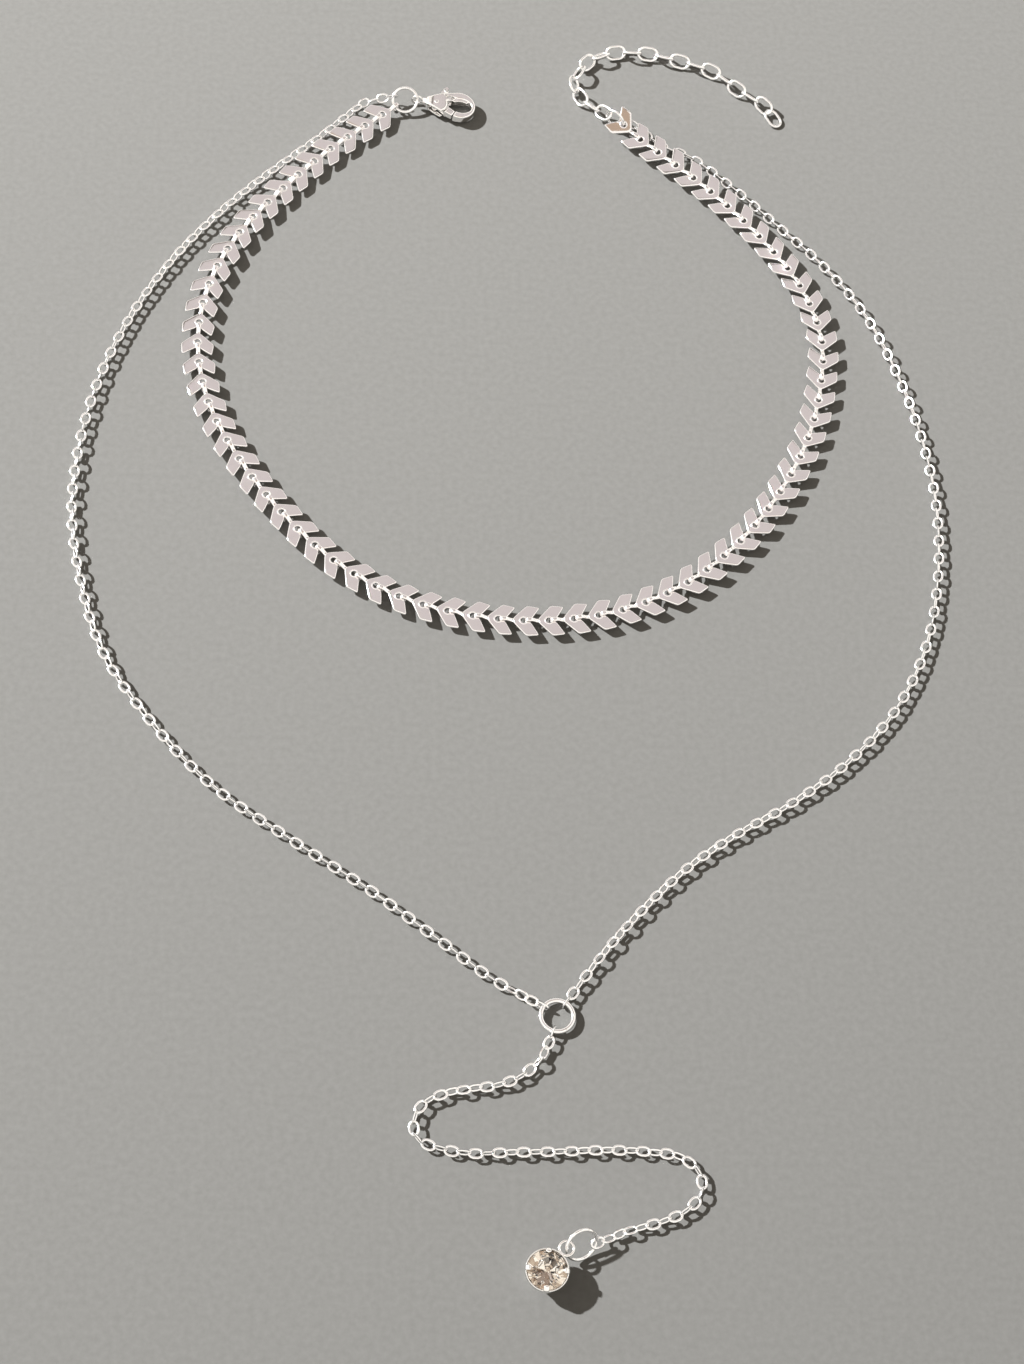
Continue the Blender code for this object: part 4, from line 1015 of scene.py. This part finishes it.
# Setting: a turned cup with a rolled rim, four bent claws over the stone's crown and a bail loop
# soldered to its rim. Plated like the rings.
PENDANT_PLACE = Vector((0.0021, -0.1283, 0))
CRYSTAL_RADIUS = 0.00331
CRYSTAL_TABLE_RADIUS = 0.00185
CRYSTAL_CROWN = 0.0009
CRYSTAL_GIRDLE = 0.0002
CRYSTAL_PAVILION = 0.0026
SETTING_CULET_HEIGHT = 0.0013
SETTING_GAP = 0.00003
SETTING_WALL = 0.00024
SETTING_BASE_RADIUS = 0.0017
CLAW_COUNT = 4
CLAW_WIDTH = 0.0009
CLAW_THICKNESS = 0.00035
CLAW_DIRECTION = math.radians(-5)
BAIL_RADIUS = 0.0012
BAIL_WIRE = 0.0005
BAIL_DIRECTION = math.radians(48)

setting_silver = silver("setting_silver", (0.975, 0.96, 0.94), (0.94, 0.92, 0.89), 0.05, 0.13, 0.03)

setting_height = SETTING_CULET_HEIGHT + CRYSTAL_PAVILION
shoulder = setting_height + CRYSTAL_GIRDLE
rim_inner = CRYSTAL_RADIUS + SETTING_GAP
rim_outer = rim_inner + SETTING_WALL


def cup():
    """The turned cup, from its middle up the inside, over the rolled rim and down the outside."""
    rim = arc(((rim_inner + rim_outer) / 2, shoulder - SETTING_WALL / 2), SETTING_WALL / 2, SETTING_WALL / 2,
              180, 0, 6)
    return turned([
        (0, SETTING_CULET_HEIGHT - SETTING_GAP * 2),
        (rim_inner, setting_height - SETTING_GAP),
        *rim,
        (rim_outer, setting_height - BAIL_WIRE),
        (rim_outer * 0.93, setting_height - BAIL_WIRE * 1.6),
        (SETTING_BASE_RADIUS * 1.15, SETTING_GAP * 2),
        (SETTING_BASE_RADIUS * 1.08, SETTING_GAP * 0.6),
        (SETTING_BASE_RADIUS, 0),
        (0, 0),
    ], 72)


def claw(direction):
    """A bent claw on the rim with a rounded tip over the crown."""
    slope = CRYSTAL_CROWN / (CRYSTAL_RADIUS - CRYSTAL_TABLE_RADIUS)
    tip = CRYSTAL_RADIUS - (CRYSTAL_RADIUS - CRYSTAL_TABLE_RADIUS) * 0.45
    half = CLAW_THICKNESS / 2
    middle = rim_inner + half
    end_height = shoulder + (CRYSTAL_RADIUS - tip) * slope + SETTING_GAP * 1.6 + half * 0.7
    line, lengths = smooth_path([
        (middle, shoulder - SETTING_WALL * 3, 0), (middle, shoulder - SETTING_WALL, 0),
        (middle - half * 0.2, shoulder + half * 0.9, 0), (middle - half * 2.2, shoulder + half * 2.6, 0),
        (tip, end_height, 0)], steps=6)
    shares = []
    for length in lengths:
        from_end = min(length, lengths[-1] - length) / (CLAW_THICKNESS * 0.9)
        shares.append(math.sqrt(max(0.04, 1 - max(0.0, 1 - from_end) ** 2)))
    finger = swept([(p.x, p.y) for p in line], CLAW_WIDTH / 2, half, 16, shares)
    finger.transform(Matrix.Rotation(direction, 4, "Z"))
    return finger


claws = [claw(CLAW_DIRECTION + 2 * math.pi * k / CLAW_COUNT) for k in range(CLAW_COUNT)]
bail = wire_loop(BAIL_RADIUS, BAIL_WIRE, 48, 14)
bail_reach = rim_outer + BAIL_RADIUS + BAIL_WIRE / 4
bail_way = Vector((math.cos(BAIL_DIRECTION), math.sin(BAIL_DIRECTION), 0))
bail.transform(Matrix.Translation(bail_way * bail_reach + UP * (setting_height - BAIL_WIRE * 0.9)))
setting_mesh = united(cup(), *claws, bail)
setting_mesh.transform(Matrix.Translation(PENDANT_PLACE))
setting = placed("setting_cup", shaded(setting_mesh, 45), setting_silver)
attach(setting, "necklace")
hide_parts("setting")

# Crystal: a round brilliant of champagne glass with a metallic foil back, seen through its crown. The
# foil's facets are tinted in turns dark brown, cream and tan: painted shade and painted highlight for the
# facets' reflections.
CRYSTAL_STAR_RADIUS = 0.00250
CRYSTAL_BREAK_RADIUS = 0.0013
PAINTED_FOIL_STEP = 7

champagne, glass_tree, glass_shader, glass_place = new_material("champagne_glass")
champagne["slot"] = "champagne_crystal"
glass_streaks = add_node(glass_tree, "ShaderNodeTexNoise", {"Vector": glass_place, "Scale": 300.0})
glass_color = color_steps(glass_tree, glass_streaks.outputs["Fac"], [
    (0.35, (1.0, 0.98, 0.95)),
    (0.65, (0.99, 0.96, 0.92)),
])
glass_tree.links.new(glass_color, glass_shader.inputs["Base Color"])
glass_shader.inputs["Roughness"].default_value = 0.0
glass_shader.inputs["IOR"].default_value = 1.6
glass_shader.inputs["Transmission Weight"].default_value = 1.0


def foil(name, dark, light):
    """A metallic foil backing, mottled between two tints."""
    backing, tree, shader, place = new_material(name)
    mottle = add_node(tree, "ShaderNodeTexNoise", {"Vector": place, "Scale": 900.0})
    color = color_steps(tree, mottle.outputs["Fac"], [(0.3, dark), (0.7, light)])
    tree.links.new(color, shader.inputs["Base Color"])
    shader.inputs["Metallic"].default_value = 1.0
    shader.inputs["Roughness"].default_value = 0.03
    return backing


# Three copies of one foil, dark brown, cream and tan: painted shade, painted highlight and a middle tone
# between them.
cream_foil = foil("cream_foil", (0.95, 0.93, 0.89), (1.0, 0.98, 0.96))
brown_foil = foil("brown_foil", (0.40, 0.33, 0.27), (0.58, 0.50, 0.42))
tan_foil = foil("tan_foil", (0.80, 0.74, 0.67), (0.90, 0.85, 0.79))


def brilliant():
    """Table, star, kite and girdle facets above, break and main facets below."""
    slope = CRYSTAL_CROWN / (CRYSTAL_RADIUS - CRYSTAL_TABLE_RADIUS)
    eighth = math.pi / 4
    star_height = (CRYSTAL_RADIUS - CRYSTAL_STAR_RADIUS * math.cos(eighth / 2)) * slope
    break_depth = CRYSTAL_PAVILION * (1 - CRYSTAL_BREAK_RADIUS * math.cos(eighth / 2) / CRYSTAL_RADIUS)
    rings = [
        (8, CRYSTAL_TABLE_RADIUS, CRYSTAL_GIRDLE + CRYSTAL_CROWN, 0),
        (8, CRYSTAL_STAR_RADIUS, CRYSTAL_GIRDLE + star_height, 0.5),
        (16, CRYSTAL_RADIUS, CRYSTAL_GIRDLE, 0),
        (16, CRYSTAL_RADIUS, 0, 0),
        (8, CRYSTAL_BREAK_RADIUS, -break_depth, 0.5),
    ]
    shape = bmesh.new()
    for count, radius, height, shift in rings:
        for k in range(count):
            turn = 2 * math.pi * (k + shift) / count
            shape.verts.new((radius * math.cos(turn), radius * math.sin(turn), height))
    shape.verts.new((0, 0, -CRYSTAL_PAVILION + SETTING_GAP))
    bmesh.ops.convex_hull(shape, input=shape.verts)
    for face in shape.faces:
        middle = face.calc_center_median()
        # Each pavilion facet gets one of the three foils in turn: painted shade, painted highlight or the
        # middle tone.
        if middle.z < 0:
            facet = round(math.atan2(middle.y, middle.x) / (eighth / 2) * 2)
            face.material_index = 1 + facet * PAINTED_FOIL_STEP % 3
    return closed_mesh(shape)


crystal_mesh = brilliant()
crystal_mesh.transform(Matrix.Translation(PENDANT_PLACE + UP * setting_height))
for finish in (champagne, cream_foil, brown_foil, tan_foil):
    crystal_mesh.materials.append(finish)
crystal = placed("cut_crystal", crystal_mesh)
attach(crystal, "necklace")
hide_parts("crystal")
